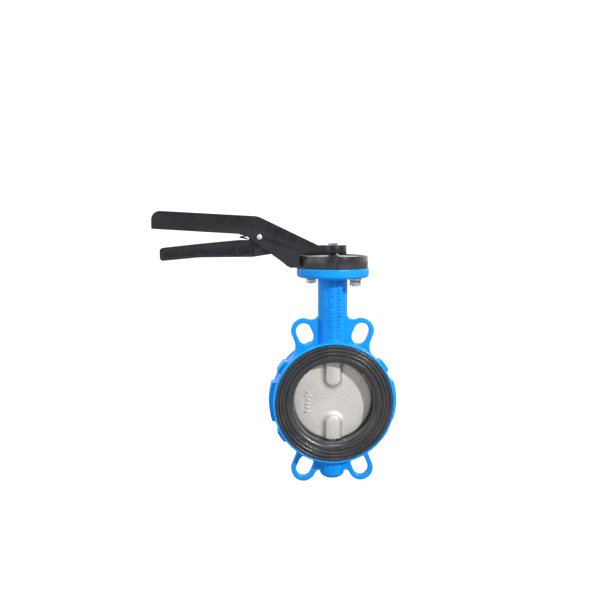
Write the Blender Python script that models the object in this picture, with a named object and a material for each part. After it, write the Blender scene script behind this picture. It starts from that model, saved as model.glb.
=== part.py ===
"""Lever-operated wafer butterfly valve, DN100, as an assembly of separate pieces.

Frame: the origin is where the pipe's axis crosses the stem's axis. +Y runs along the pipe,
+Z up the stem, and the lever points to -X with the disc closed. Lengths are in metres.
"""

import math

import bmesh
import bpy
from mathutils import Vector

MM = 0.001
GAP = 0.3 * MM  # between two pieces that touch on the real valve
MERGE = 0.001 * MM  # points closer than this are one
PAST = 1.0 * MM  # how far a cutting tool runs past the face it cuts
AXES = {"Y": Vector((0, 1, 0)), "Z": Vector((0, 0, 1))}

# Bore and seat
BORE_R = 50.0 * MM
FACE_TO_FACE = 52.0 * MM
SEAT_WALL = 8.0 * MM
SEAT_FLANGE_RISE = 13.8 * MM  # over the middle of the seat
SEAT_FLANGE_T = 5.0 * MM
SEAT_LIP = 2.0 * MM  # lead-in round the mouth of the bore

# Body casting
FACE_SET_BACK = 1.0 * MM  # how far the seat stands proud of the casting
RIM_WALL = 3.1 * MM  # round the seat's flanges
RIM_W = 5.5 * MM
CHANNEL_DEPTH = 1.6 * MM  # between rims and pads
PAD_RISE = 4.3 * MM  # over the rims
PAD_HALF_W = 11.0 * MM
PAD_SPANS = ((-20, 20), (27, 42), (138, 153), (160, 200), (207, 222), (318, 333))
EAR_T = 10.0 * MM
EAR_WALL = 6.0 * MM
SLOT_W = 19.0 * MM
SLOT_L = 27.0 * MM
SLOT_CLEAR = 1.7 * MM  # from the ring to a slot's inner end
EAR_ANGLE = 22.5  # degrees from the stem's axis
EAR_FILLET = 9.0 * MM
UPPER_EAR_FOOT_R = 20.0 * MM  # fillet from the loop's outer flank to the ring
LOWER_EAR_FOOT_R = 12.0 * MM
WEB_DROP = 1.7 * MM  # upper web below the top of its loop
LOWER_WEB_RISE = 2.0 * MM  # lower web beyond the middle of its loop
EAR_ROOT = 4.0 * MM  # how far an ear or a pad starts inside the ring
NECK_WALL = 7.25 * MM
NECK_FILLET = 3.0 * MM
BOSS_WALL = 4.0 * MM
BOSS_L = 40.0 * MM  # beyond the seat
BOSS_CHAMFER = 4.5 * MM
FLANGE_R = 44.5 * MM
FLANGE_T = 11.5 * MM
FLANGE_TOP_Z = 165.0 * MM
FLANGE_EDGE_R = 4.0 * MM
BOLT_EDGE = 9.5 * MM  # from the flange's edge to the middle of a bolt

# Disc and stems
DISC_CLEARANCE = 0.4 * MM
DISC_T = 9.0 * MM
DISC_BOSS_WALL = 2.1 * MM
DISC_BOSS_END_Z = 19.5 * MM
STEM_R = 7.9 * MM
DRIVE_HALF = 5.5 * MM  # half the square, across the flats
DRIVE_L = 10.0 * MM
STEM_IN_DISC = 25.0 * MM  # how deep each stem's bore runs into the disc
STEM_PROUD = 4.0 * MM  # above the lever's hub
STEM_SHOULDER_DROP = 4.0 * MM  # top of the round shaft, below the plate's top
BUSH_WALL = 2.5 * MM
BUSH_L = 18.0 * MM
BUSH_SET_BACK = 3.0 * MM  # from the outside of the seat to the first bush
SEAL_H = 2.5 * MM
PLUG_L = 10.0 * MM
PLUG_CHAMFER = 1.0 * MM
PLUG_SOCKET_R = 5.8 * MM  # across the corners, halved
PLUG_SOCKET_DEPTH = 5.7 * MM
WASHER_RIM = 6.1 * MM
WASHER_T = 1.5 * MM
CIRCLIP_RIM = 3.6 * MM
CIRCLIP_T = 1.5 * MM
CIRCLIP_GROOVE = 1.3 * MM

# Notch plate and its fasteners
PLATE_SET_BACK = 1.3 * MM  # from the flange's edge
PLATE_H = 15.2 * MM
PLATE_RIM_W = 2.7 * MM
PLATE_RECESS = 1.5 * MM
SECTOR_STEP = 0.6 * MM  # the rim is this much lower where the tooth sweeps
NOTCH_DEPTH = 2.6 * MM
BOLT_R = 4.0 * MM
BOLT_CLEAR = 0.5 * MM
BOLT_HEAD_R = 6.5 * MM
BOLT_HEAD_H = 8.0 * MM
BOLT_SOCKET_R = 3.4 * MM
BOLT_SINK = 0.5 * MM  # head below the plate's recess
FLAT_WASHER_R = 8.0 * MM
FLAT_WASHER_T = 1.5 * MM
SPRING_WASHER_R = 6.6 * MM
SPRING_WASHER_T = 1.8 * MM
NUT_R = 7.5 * MM  # across the corners, halved
NUT_H = 6.1 * MM
BOLT_END = 0.9 * MM  # thread showing below the nut

# Lever
LEVER_HALF_W = 13.5 * MM
LEVER_WALL = 2.8 * MM
LEVER_TIP_X = -219.3 * MM
LEVER_BEND_AT = Vector((-92.0, 63.3)) * MM  # from the stem's axis and the flange's top
LEVER_TIP_RISE = 70.2 * MM  # over the flange's top
LEVER_TIP_DEPTH = 22.0 * MM
LEVER_TIP_ROUND = 10.5 * MM
LEVER_BEND_ROUND = 22.0 * MM
LEVER_ELBOW_AT = Vector((-109.0, 41.6)) * MM  # where the underside turns down the arm
LEVER_HUB_PROUD = 0.4 * MM
ARM_END_X = -15.5 * MM
ARM_END_ROUND = 14.0 * MM
ELBOW_ROUND = 12.0 * MM
HEEL_ROUND = 1.5 * MM
TIP_CORNER_ROUND = 1.0 * MM
LEVER_HEEL_L = 10.0 * MM  # flat below the arm, just outside the plate
HEEL_CLEAR = 1.2 * MM  # from the plate
HUB_R = 17.0 * MM
HUB_H = 10.3 * MM
LEVER_LIFT = 0.7 * MM  # clear of the plate
SET_SCREW_R = 3.0 * MM
SCREW_PROUD = 1.5 * MM
SCREW_SOCKET_R = 1.7 * MM
SCREW_SOCKET_DEPTH = 3.5 * MM

# Trigger, its pin and spring
PIVOT_AT = Vector((-90.2, 38.4)) * MM  # from the stem's axis and the flange's top
PIN_R = 3.2 * MM
PIN_PROUD = 0.8 * MM
PIN_CLIP_END = 2.6 * MM
PIN_GROOVE = 0.8 * MM
PIN_CHAMFER = 0.5 * MM
CLIP_R = 6.0 * MM
CLIP_T = 0.8 * MM
TRIGGER_SIDE_GAP = 0.5 * MM  # inside the lever's walls
TRIGGER_TIP_IN = 9.1 * MM  # behind the lever's tip
TRIGGER_TIP_RISE = 17.2 * MM  # middle of the tip, over the flange's top
TRIGGER_DEPTH = 15.6 * MM
GRIP_TIP_ROUND = 4.0 * MM
GRIP_CROWN = Vector((46.0, 12.8)) * MM  # on the grip's top, from its tip
GRIP_CROWN_ROUND = 80.0 * MM
GRIP_BELLY = Vector((48.0, -3.4)) * MM  # on the grip's underside, from its tip
GRIP_BELLY_ROUND = 120.0 * MM
GRIP_HEEL = Vector((-8.0, -24.2)) * MM  # from the pivot, as the next four
GRIP_HEEL_ROUND = 20.0 * MM
CHIN = Vector((16.0, -20.5)) * MM
CHIN_ROUND = 2.0 * MM
EYE_BACK = Vector((-8.0, 8.0)) * MM
EYE_FRONT = Vector((7.0, 8.0)) * MM
EYE_ROUND = 4.0 * MM
ARM_TOP = Vector((5.0, 4.0)) * MM
ARM_UNDER = Vector((14.0, -19.0)) * MM
ARM_ROUND = 5.0 * MM
BLOCK_CLEAR = 3.5 * MM  # from the plate to the block that carries the tooth
BLOCK_L = 9.0 * MM
BLOCK_BACK_H = 13.0 * MM
BLOCK_WALL = 2.0 * MM  # over and under the tooth
BLOCK_ROUND = 1.0 * MM
ARM_HALF_W = 6.0 * MM
TOOTH_HALF_W = 1.7 * MM
TOOTH_RISE = 3.6 * MM  # over the flange's top
TOOTH_H = 4.0 * MM
TOOTH_ROOT = 4.0 * MM  # how far the tooth runs into its block
TOOTH_TAPER = 1.0 * MM
TOOTH_ROUND = 0.6 * MM
TOOTH_CLEAR = 0.4 * MM  # from the rim, with the trigger just off its latch
LATCH_SWING = 3.5  # degrees from rest to fully home in a notch
SPRING_BACK = 19.3 * MM  # from the pivot
SPRING_SEAT_HALF = 6.0 * MM
SPRING_SEAT_ROUND = 20.0 * MM
SPRING_SEAT_RISE = 34.6 * MM  # the trigger's top under the spring, over the flange's top
SPRING_R = 3.6 * MM
SPRING_WIRE_R = 0.75 * MM
SPRING_TURNS = 6
SPRING_TURN_STEPS = 10

# Places that follow from the sizes above
FACE_Y = FACE_TO_FACE / 2
CAST_FACE_Y = FACE_Y - FACE_SET_BACK
SEAT_OUTER_R = BORE_R + SEAT_WALL
SEAT_FLANGE_R = SEAT_OUTER_R + SEAT_FLANGE_RISE
SEAT_STEP_Y = FACE_Y - SEAT_FLANGE_T
RIM_R = SEAT_FLANGE_R + GAP + RIM_WALL
PAD_R = RIM_R + PAD_RISE
BOLT_CIRCLE_R = RIM_R + SLOT_CLEAR + SLOT_L / 2
BOSS_BOTTOM_Z = -SEAT_OUTER_R - BOSS_L
DISC_R = BORE_R - DISC_CLEARANCE
LOOP_R = SLOT_W / 2 + EAR_WALL
STEM_HOLE_R = STEM_R + GAP
BUSH_R = STEM_HOLE_R + BUSH_WALL
NECK_BORE_R = BUSH_R + GAP
NECK_R = NECK_BORE_R + NECK_WALL
BOSS_R = NECK_BORE_R + BOSS_WALL
DISC_BOSS_R = STEM_HOLE_R + DISC_BOSS_WALL
WASHER_R = STEM_R + WASHER_RIM
CIRCLIP_R = STEM_R + CIRCLIP_RIM
FLANGE_BOTTOM_Z = FLANGE_TOP_Z - FLANGE_T
BOLT_ROW_R = FLANGE_R - BOLT_EDGE
BOLT_HOLE_R = BOLT_R + BOLT_CLEAR
BOLT_POCKET_DEPTH = BOLT_HEAD_H + BOLT_SINK
PLATE_R = FLANGE_R - PLATE_SET_BACK
PLATE_Z = FLANGE_TOP_Z + GAP
PLATE_TOP_Z = PLATE_Z + PLATE_H
HUB_Z = PLATE_TOP_Z + LEVER_LIFT
HUB_TOP_Z = HUB_Z + HUB_H
STEM_TOP_Z = HUB_TOP_Z + STEM_PROUD
ON_FLANGE = Vector((0, FLANGE_TOP_Z))
LEVER_TIP = Vector((LEVER_TIP_X, LEVER_TIP_RISE)) + ON_FLANGE
LEVER_BEND = LEVER_BEND_AT + ON_FLANGE
LEVER_ELBOW = LEVER_ELBOW_AT + ON_FLANGE
PIVOT = PIVOT_AT + ON_FLANGE
TRIGGER_HALF_W = LEVER_HALF_W - LEVER_WALL - TRIGGER_SIDE_GAP
TRIGGER_TIP = Vector((LEVER_TIP_X + TRIGGER_TIP_IN, TRIGGER_TIP_RISE)) + ON_FLANGE
TOOTH_Z = FLANGE_TOP_Z + TOOTH_RISE
SPRING_X = PIVOT.x - SPRING_BACK
SEAT_Z = FLANGE_TOP_Z + SPRING_SEAT_RISE
HEEL_X = -PLATE_R - HEEL_CLEAR
COUNTERBORE_R = WASHER_R + GAP
COUNTERBORE_Z = FLANGE_TOP_Z - WASHER_T - CIRCLIP_T - 4 * GAP
CIRCLIP_Z = COUNTERBORE_Z + WASHER_T + 2 * GAP
BOLT_ANGLES = (-45, 135)
NOTCH_ANGLES = (180, 270)  # disc closed, and disc open
RING_STEPS = 60
SHAFT_STEPS = 24
SMALL_STEPS = 16
PLATE_STEPS = 64
HUB_STEPS = 40

COLOURS = {  # base colour, roughness, metallic
    "blue_paint": ((0.02, 0.27, 0.80), 0.35, 0.0),
    "rubber": ((0.035, 0.035, 0.038), 0.6, 0.0),
    "disc_metal": ((0.55, 0.54, 0.51), 0.5, 0.9),
    "steel": ((0.55, 0.55, 0.56), 0.3, 1.0),
    "zinc": ((0.62, 0.62, 0.64), 0.35, 1.0),
    "black_paint": ((0.03, 0.03, 0.033), 0.4, 0.0),
    "bush_polymer": ((0.80, 0.79, 0.74), 0.5, 0.0),
}


def clear_scene():
    for obj in list(bpy.data.objects):
        bpy.data.objects.remove(obj, do_unlink=True)


def material(name):
    found = bpy.data.materials.get(name)
    if found:
        return found
    colour, roughness, metallic = COLOURS[name]
    made = bpy.data.materials.new(name)
    made.use_nodes = True
    shader = made.node_tree.nodes["Principled BSDF"]
    shader.inputs["Base Color"].default_value = (*colour, 1.0)
    shader.inputs["Roughness"].default_value = roughness
    shader.inputs["Metallic"].default_value = metallic
    return made


def make_object(name, bm, finish=None, origin=(0, 0, 0)):
    """One object from a bmesh given in world places, with its origin where it is asked for."""
    bmesh.ops.remove_doubles(bm, verts=bm.verts, dist=MERGE)
    bmesh.ops.recalc_face_normals(bm, faces=bm.faces)
    bmesh.ops.translate(bm, verts=bm.verts, vec=-Vector(origin))
    mesh = bpy.data.meshes.new(name)
    bm.to_mesh(mesh)
    bm.free()
    mesh.shade_smooth()
    mesh.set_sharp_from_angle(angle=math.radians(35))
    obj = bpy.data.objects.new(name, mesh)
    obj.location = origin
    bpy.context.scene.collection.objects.link(obj)
    if finish:
        mesh.materials.append(material(finish))
    return obj


def tool(name, *shapes):
    """A shape that is only used to add to or cut another; islands of one tool don't touch."""
    bm = bmesh.new()
    for shape in shapes:
        other = bpy.data.meshes.new("scratch")
        shape.to_mesh(other)
        shape.free()
        bm.from_mesh(other)
        bpy.data.meshes.remove(other)
    obj = make_object(name, bm)
    obj.hide_render = True
    obj.display_type = "WIRE"
    return obj


def combine(obj, operand, operation):
    step = obj.modifiers.new(operand.name, "BOOLEAN")
    step.operation = operation
    step.object = operand
    step.solver = "EXACT"


def add(obj, *operands):
    for operand in operands:
        combine(obj, operand, "UNION")


def cut(obj, *operands):
    for operand in operands:
        combine(obj, operand, "DIFFERENCE")


def arc(centre, radius, start, end, count):
    """Points from start to end, in degrees, both ends included."""
    turns = [math.radians(start + (end - start) * i / count) for i in range(count + 1)]
    return [(centre[0] + radius * math.cos(t), centre[1] + radius * math.sin(t)) for t in turns]


def rounded(corners, count=4):
    """A closed outline through (x, z, radius) corners, each rounded to its radius."""
    points = []
    for i, (x, z, radius) in enumerate(corners):
        here = Vector((x, z))
        before = (Vector(corners[i - 1][:2]) - here).normalized()
        after = (Vector(corners[(i + 1) % len(corners)][:2]) - here).normalized()
        if radius == 0:
            points.append((x, z))
            continue
        half = before.angle(after) / 2
        centre = here + (before + after).normalized() * radius / math.sin(half)
        first = here + before * radius / math.tan(half) - centre
        last = here + after * radius / math.tan(half) - centre
        turn = first.angle_signed(last)
        for k in range(count + 1):
            t = -turn * k / count
            points.append((
                centre.x + first.x * math.cos(t) - first.y * math.sin(t),
                centre.y + first.x * math.sin(t) + first.y * math.cos(t),
            ))
    return points


def turned(outline, steps, along="Z"):
    """A turned shape. The outline is closed, as (radius, height along the axis) points."""
    axis = AXES[along]
    bm = bmesh.new()
    verts = [bm.verts.new(Vector((r, 0, 0)) + axis * h) for r, h in outline]
    edges = [bm.edges.new((verts[i - 1], verts[i])) for i in range(len(verts))
             if outline[i - 1][0] > 0 or outline[i][0] > 0]
    bmesh.ops.spin(bm, geom=verts + edges, cent=(0, 0, 0), axis=axis, angle=2 * math.pi,
                   steps=steps, use_merge=True)
    bmesh.ops.remove_doubles(bm, verts=bm.verts, dist=MERGE)
    bmesh.ops.recalc_face_normals(bm, faces=bm.faces)
    return bm


def tube(inner, outer, low, high, steps=SHAFT_STEPS, along="Z"):
    return turned([(inner, low), (outer, low), (outer, high), (inner, high)], steps, along)


def rod(radius, low, high, steps=SHAFT_STEPS, along="Z"):
    return turned([(0, low), (radius, low), (radius, high), (0, high)], steps, along)


def prism(outline, low, high, along="Y"):
    """An outline in X and Z drawn out along Y, or in X and Y drawn out along Z."""
    bm = bmesh.new()
    place = (lambda a, b, h: (a, h, b)) if along == "Y" else (lambda a, b, h: (a, b, h))
    verts = [bm.verts.new(place(a, b, low)) for a, b in outline]
    face = bm.faces.new(verts)
    made = bmesh.ops.extrude_face_region(bm, geom=[face])["geom"]
    shift = Vector(place(0, 0, high)) - Vector(place(0, 0, low))
    bmesh.ops.translate(bm, vec=shift, verts=[v for v in made if isinstance(v, bmesh.types.BMVert)])
    bmesh.ops.recalc_face_normals(bm, faces=bm.faces)
    return bm


def square(half, low, high):
    return prism([(-half, -half), (half, -half), (half, half), (-half, half)], low, high, "Z")


def hexagon(radius, low, high):
    return prism(arc((0, 0), radius, 0, 300, 5), low, high, "Z")


def moved(bm, x, y, z=0.0):
    bmesh.ops.translate(bm, verts=bm.verts, vec=(x, y, z))
    return bm


# Body ---------------------------------------------------------------------------------------


def slot_centre(side, up):
    turn = math.radians(EAR_ANGLE)
    return Vector((side * math.sin(turn), up * math.cos(turn))) * BOLT_CIRCLE_R


def slot_outline(side, up):
    """A round-ended slot whose length points at the bore's axis."""
    centre = slot_centre(side, up)
    lean = math.degrees(math.atan2(centre.y, centre.x))
    reach = centre.normalized() * (SLOT_L - SLOT_W) / 2
    radius = SLOT_W / 2
    return (arc(centre + reach, radius, lean - 90, lean + 90, 10)
            + arc(centre - reach, radius, lean + 90, lean + 270, 10))


def ear_outline(side, up):
    """The loop round a slot and the web that ties it to the ring and to the neck or boss."""
    turn = math.radians(EAR_ANGLE)
    outward = Vector((math.sin(turn), math.cos(turn)))
    across = Vector((math.cos(turn), -math.sin(turn)))
    loop = outward * (BOLT_CIRCLE_R + (SLOT_L - SLOT_W) / 2)
    root_r = RIM_R - EAR_ROOT
    if up > 0:
        web_z = loop.y + LOOP_R - WEB_DROP
        neck_x = math.sqrt(NECK_R ** 2 - (EAR_T / 2) ** 2) - GAP
        web_top = web_z + EAR_FILLET + PAST
        start = [(neck_x - EAR_ROOT, root_r), (neck_x - EAR_ROOT, web_top), (neck_x, web_top)]
        start += arc((neck_x + EAR_FILLET, web_z + EAR_FILLET), EAR_FILLET, 180, 270, 6)
        leave = 180 - math.degrees(math.asin((web_z - loop.y) / LOOP_R))
    else:
        boss_x = math.sqrt(BOSS_R ** 2 - (EAR_T / 2) ** 2) - GAP
        web_z = loop.y + LOWER_WEB_RISE
        notch_r = (loop.x - LOOP_R - boss_x) / 2
        web_top = web_z + notch_r
        start = [(boss_x - EAR_ROOT, root_r), (boss_x - EAR_ROOT, web_top), (boss_x, web_top)]
        start += arc((boss_x + notch_r, web_z + notch_r), notch_r, 180, 360, 6)[1:-1]
        leave = 180 - math.degrees(math.asin(notch_r / LOOP_R))
    flank = loop + across * LOOP_R
    foot = flank - outward * (flank.dot(outward) - math.sqrt(RIM_R ** 2 - LOOP_R ** 2))
    pad_end = math.radians(PAD_SPANS[1][1] - 4)
    away = Vector((math.cos(pad_end), math.sin(pad_end))) * RIM_R
    foot_r = UPPER_EAR_FOOT_R if up > 0 else LOWER_EAR_FOOT_R
    tail = rounded([(flank.x, flank.y, 0), (foot.x, foot.y, foot_r), (away.x, away.y, 0)], 5)
    tail += [(away.x * 0.9, away.y * 0.9)]
    points = start + arc(loop, LOOP_R, leave, -EAR_ANGLE, 16) + tail[1:]
    return [(side * x, up * z) for x, z in points]


def pad_outline(start, end):
    steps = max(4, round((end - start) / 4))
    return arc((0, 0), PAD_R, start, end, steps) + arc((0, 0), RIM_R - EAR_ROOT, end, start, steps)


def make_body():
    channel_r = RIM_R - CHANNEL_DEPTH
    step_y = CAST_FACE_Y - RIM_W
    hollow = SEAT_OUTER_R + GAP
    half = [(RIM_R, CAST_FACE_Y), (RIM_R, step_y), (channel_r, step_y - CHANNEL_DEPTH)]
    outer = half + [(r, -y) for r, y in reversed(half)]
    inner = hollow - PAST
    ring = turned(outer + [(inner, -CAST_FACE_Y), (inner, CAST_FACE_Y)], RING_STEPS, "Y")
    body = make_object("body", ring, "blue_paint")

    low = hollow + EAR_ROOT
    edge = arc((FLANGE_R - FLANGE_EDGE_R, FLANGE_BOTTOM_Z + FLANGE_EDGE_R), FLANGE_EDGE_R, -90, 0, 3)
    fillet = arc((NECK_R + NECK_FILLET, FLANGE_BOTTOM_Z - NECK_FILLET), NECK_FILLET, 180, 90, 3)
    neck = turned([(0, low), (NECK_R, low)] + fillet + edge
                  + [(FLANGE_R, FLANGE_TOP_Z), (0, FLANGE_TOP_Z)], 48)
    boss = turned([(0, BOSS_BOTTOM_Z), (BOSS_R - BOSS_CHAMFER, BOSS_BOTTOM_Z),
                   (BOSS_R, BOSS_BOTTOM_Z + BOSS_CHAMFER), (BOSS_R, -low), (0, -low)], 32)
    corners = [(side, up) for side in (-1, 1) for up in (-1, 1)]
    ears = [prism(ear_outline(*c), -EAR_T / 2, EAR_T / 2) for c in corners]
    pads = [prism(pad_outline(*span), -PAD_HALF_W, PAD_HALF_W) for span in PAD_SPANS]
    add(body, tool("add_neck", neck), tool("add_boss", boss), tool("add_pads", *pads),
        tool("add_ears", *ears))

    recess = SEAT_FLANGE_R + GAP
    step = SEAT_STEP_Y - GAP
    seat_room = turned([(0, FACE_Y), (recess, FACE_Y), (recess, step), (hollow, step), (hollow, -step),
                        (recess, -step), (recess, -FACE_Y), (0, -FACE_Y)], RING_STEPS, "Y")
    stem_room = turned([(0, BORE_R), (NECK_BORE_R, BORE_R), (NECK_BORE_R, COUNTERBORE_Z),
                        (COUNTERBORE_R, COUNTERBORE_Z), (COUNTERBORE_R, FLANGE_TOP_Z + PAST),
                        (0, FLANGE_TOP_Z + PAST)], SHAFT_STEPS)
    plug_room = rod(NECK_BORE_R, BOSS_BOTTOM_Z - PAST, -BORE_R)
    slots = [prism(slot_outline(*c), -PAD_HALF_W, PAD_HALF_W) for c in corners]
    holes = [moved(rod(BOLT_HOLE_R, FLANGE_BOTTOM_Z - PAST, FLANGE_TOP_Z + PAST, SMALL_STEPS), x, y)
             for x, y in arc((0, 0), BOLT_ROW_R, 45, 315, 3)]
    cut(body, tool("cut_stem_room", stem_room, plug_room), tool("cut_slots", *slots),
        tool("cut_bolt_holes", *holes), tool("cut_seat_room", seat_room))


def make_seat():
    half = [(BORE_R, FACE_Y - SEAT_LIP), (BORE_R + SEAT_LIP, FACE_Y), (SEAT_FLANGE_R, FACE_Y),
            (SEAT_FLANGE_R, SEAT_STEP_Y), (SEAT_OUTER_R, SEAT_STEP_Y)]
    outline = half + [(r, -y) for r, y in reversed(half)]
    seat = make_object("seat", turned(outline, RING_STEPS, "Y"), "rubber")
    reach = SEAT_OUTER_R + PAST
    cut(seat, tool("cut_seat_stem_holes", rod(STEM_HOLE_R, -reach, reach)))


# Disc and stems -----------------------------------------------------------------------------


def make_disc():
    """The edge is part of a ball, so it clears the bore at every angle."""
    lean = math.degrees(math.asin(DISC_T / 2 / DISC_R))
    edge = arc((0, 0), DISC_R, -lean, lean, 4)
    plate = turned([(0, -DISC_T / 2)] + edge + [(0, DISC_T / 2)], RING_STEPS, "Y")
    disc = make_object("disc", plate, "disc_metal")
    top = math.sqrt(DISC_R ** 2 - DISC_BOSS_R ** 2) - DISC_CLEARANCE / 4
    end = arc((0, DISC_BOSS_END_Z + DISC_BOSS_R), DISC_BOSS_R, -90, 0, 6)
    profile = end + [(DISC_BOSS_R, top), (0, top)]
    upper = turned(profile, SHAFT_STEPS)
    lower = turned([(r, -z) for r, z in profile], SHAFT_STEPS)
    add(disc, tool("add_disc_bosses", upper, lower))
    floor_z = DISC_R - STEM_IN_DISC
    square_top = floor_z + DRIVE_L
    drive = square(DRIVE_HALF + GAP, floor_z, square_top + PAST)
    cut(disc, tool("cut_disc_drive", drive),
        tool("cut_disc_bores", rod(STEM_HOLE_R, square_top, DISC_R + PAST),
             rod(STEM_HOLE_R, -DISC_R - PAST, -floor_z)))


def make_stems():
    floor_z = DISC_R - STEM_IN_DISC
    shoulder = floor_z + DRIVE_L + GAP
    round_top = PLATE_TOP_Z - STEM_SHOULDER_DROP
    groove = CIRCLIP_Z - GAP
    groove_top = groove + CIRCLIP_T + 2 * GAP
    waist = STEM_R - CIRCLIP_GROOVE
    shaft = turned([(0, shoulder), (STEM_R, shoulder), (STEM_R, groove), (waist, groove),
                    (waist, groove_top), (STEM_R, groove_top), (STEM_R, round_top), (0, round_top)],
                   SHAFT_STEPS)
    upper = make_object("upper_stem", shaft, "steel")
    add(upper, tool("add_stem_squares", square(DRIVE_HALF, floor_z + GAP, shoulder + PAST),
                    square(DRIVE_HALF, round_top - PAST, STEM_TOP_Z)))
    plug_top = BOSS_BOTTOM_Z + PLUG_L
    bottom = plug_top + SEAL_H + 2 * GAP
    make_object("lower_stem", rod(STEM_R, bottom, -floor_z - GAP), "steel")


def make_stem_guides():
    low = SEAT_OUTER_R + BUSH_SET_BACK
    neck_seal = low + BUSH_L + GAP
    high = COUNTERBORE_Z - GAP
    upper_seal = high - BUSH_L - GAP
    make_object("neck_bush", tube(STEM_HOLE_R, BUSH_R, low, low + BUSH_L), "bush_polymer")
    make_object("upper_bush", tube(STEM_HOLE_R, BUSH_R, high - BUSH_L, high), "bush_polymer")
    make_object("bottom_bush", tube(STEM_HOLE_R, BUSH_R, -low - BUSH_L, -low), "bush_polymer")
    make_object("neck_stem_seal", seal(neck_seal), "rubber")
    make_object("upper_stem_seal", seal(upper_seal - SEAL_H), "rubber")


def seal(low):
    """A rubber ring of round section, a little flattened where it bears."""
    middle = (STEM_HOLE_R + BUSH_R) / 2
    return turned(arc((middle, low + SEAL_H / 2), SEAL_H / 2, 0, 300, 5), SHAFT_STEPS)


def make_stem_retainers():
    washer = tube(STEM_HOLE_R, WASHER_R, COUNTERBORE_Z + GAP, COUNTERBORE_Z + GAP + WASHER_T)
    make_object("thrust_washer", washer, "zinc")
    inner = STEM_R - CIRCLIP_GROOVE + GAP
    ring = arc((0, 0), CIRCLIP_R, 25, 335, 24) + arc((0, 0), inner, 335, 25, 24)
    make_object("stem_circlip", prism(ring, CIRCLIP_Z, CIRCLIP_Z + CIRCLIP_T, "Z"), "steel")


def make_bottom_plug():
    low = BOSS_BOTTOM_Z + GAP
    top = BOSS_BOTTOM_Z + PLUG_L
    outline = [(0, low), (BUSH_R - PLUG_CHAMFER, low), (BUSH_R, low + PLUG_CHAMFER), (BUSH_R, top), (0, top)]
    plug = make_object("bottom_plug", turned(outline, SHAFT_STEPS), "zinc")
    cut(plug, tool("cut_plug_socket", hexagon(PLUG_SOCKET_R, low - PAST, low + PLUG_SOCKET_DEPTH)))
    make_object("plug_seal", seal(top + GAP), "rubber")


# Notch plate and fasteners ------------------------------------------------------------------


def notch_outline(angle):
    """A slot that runs in from the rim at one angle, seen from above."""
    root = PLATE_R - SECTOR_STEP - NOTCH_DEPTH
    half = TOOTH_HALF_W + TOOTH_CLEAR
    turn = math.radians(angle)
    along = Vector((math.cos(turn), math.sin(turn)))
    side = Vector((-along.y, along.x)) * half
    far = PLATE_R + PAST
    corners = (along * root - side, along * far - side, along * far + side, along * root + side)
    return [tuple(p) for p in corners]


def make_notch_plate():
    stop = math.degrees((TOOTH_HALF_W + 2 * TOOTH_CLEAR) / PLATE_R)
    closed, opened = NOTCH_ANGLES
    swept = arc((0, 0), PLATE_R - SECTOR_STEP, closed - stop, opened + stop, 24)
    rest = arc((0, 0), PLATE_R, opened + stop, closed + 360 - stop, 48)
    plate = make_object("notch_plate", prism(swept + rest, PLATE_Z, PLATE_TOP_Z, "Z"), "black_paint")
    below = PLATE_Z - PAST
    above = PLATE_TOP_Z + PAST
    recess = rod(PLATE_R - SECTOR_STEP - PLATE_RIM_W, PLATE_TOP_Z - PLATE_RECESS, above, PLATE_STEPS)
    centre = rod(STEM_HOLE_R + GAP, below, above)
    floor_z = PLATE_TOP_Z - PLATE_RECESS - BOLT_POCKET_DEPTH
    wide = BOLT_HEAD_R + GAP
    outline = [(0, below), (BOLT_HOLE_R, below), (BOLT_HOLE_R, floor_z), (wide, floor_z), (wide, above),
               (0, above)]
    pockets = [moved(turned(outline, SMALL_STEPS), x, y) for x, y in bolt_places()]
    rise = math.radians(LATCH_SWING) * (abs(PIVOT.x) - PLATE_R)
    notch_top = TOOTH_Z + TOOTH_H + rise + PAST
    notches = [prism(notch_outline(a), below, notch_top, "Z") for a in NOTCH_ANGLES]
    cut(plate, tool("cut_plate_recess", recess), tool("cut_plate_centre", centre),
        tool("cut_bolt_pockets", *pockets), tool("cut_notches", *notches))


def bolt_places():
    return [(BOLT_ROW_R * math.cos(math.radians(a)), BOLT_ROW_R * math.sin(math.radians(a)))
            for a in BOLT_ANGLES]


def placed(obj, x, y):
    obj.location = (x, y, 0)
    return obj


def make_bolt(name, low, head_z, x, y):
    top = head_z + BOLT_HEAD_H
    outline = [(0, low), (BOLT_R, low), (BOLT_R, head_z), (BOLT_HEAD_R, head_z), (BOLT_HEAD_R, top), (0, top)]
    bolt = placed(make_object("plate_bolt_" + name, turned(outline, SMALL_STEPS), "zinc"), x, y)
    socket = tool("cut_socket_" + name, hexagon(BOLT_SOCKET_R, head_z + BOLT_HEAD_H / 2, top + PAST))
    cut(bolt, placed(socket, x, y))


def make_nut(name, low, x, y):
    nut = placed(make_object("nut_" + name, hexagon(NUT_R, low, low + NUT_H), "zinc"), x, y)
    thread = tool("cut_nut_thread_" + name, rod(BOLT_R + GAP, low - PAST, low + NUT_H + PAST, SMALL_STEPS))
    cut(nut, placed(thread, x, y))


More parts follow.
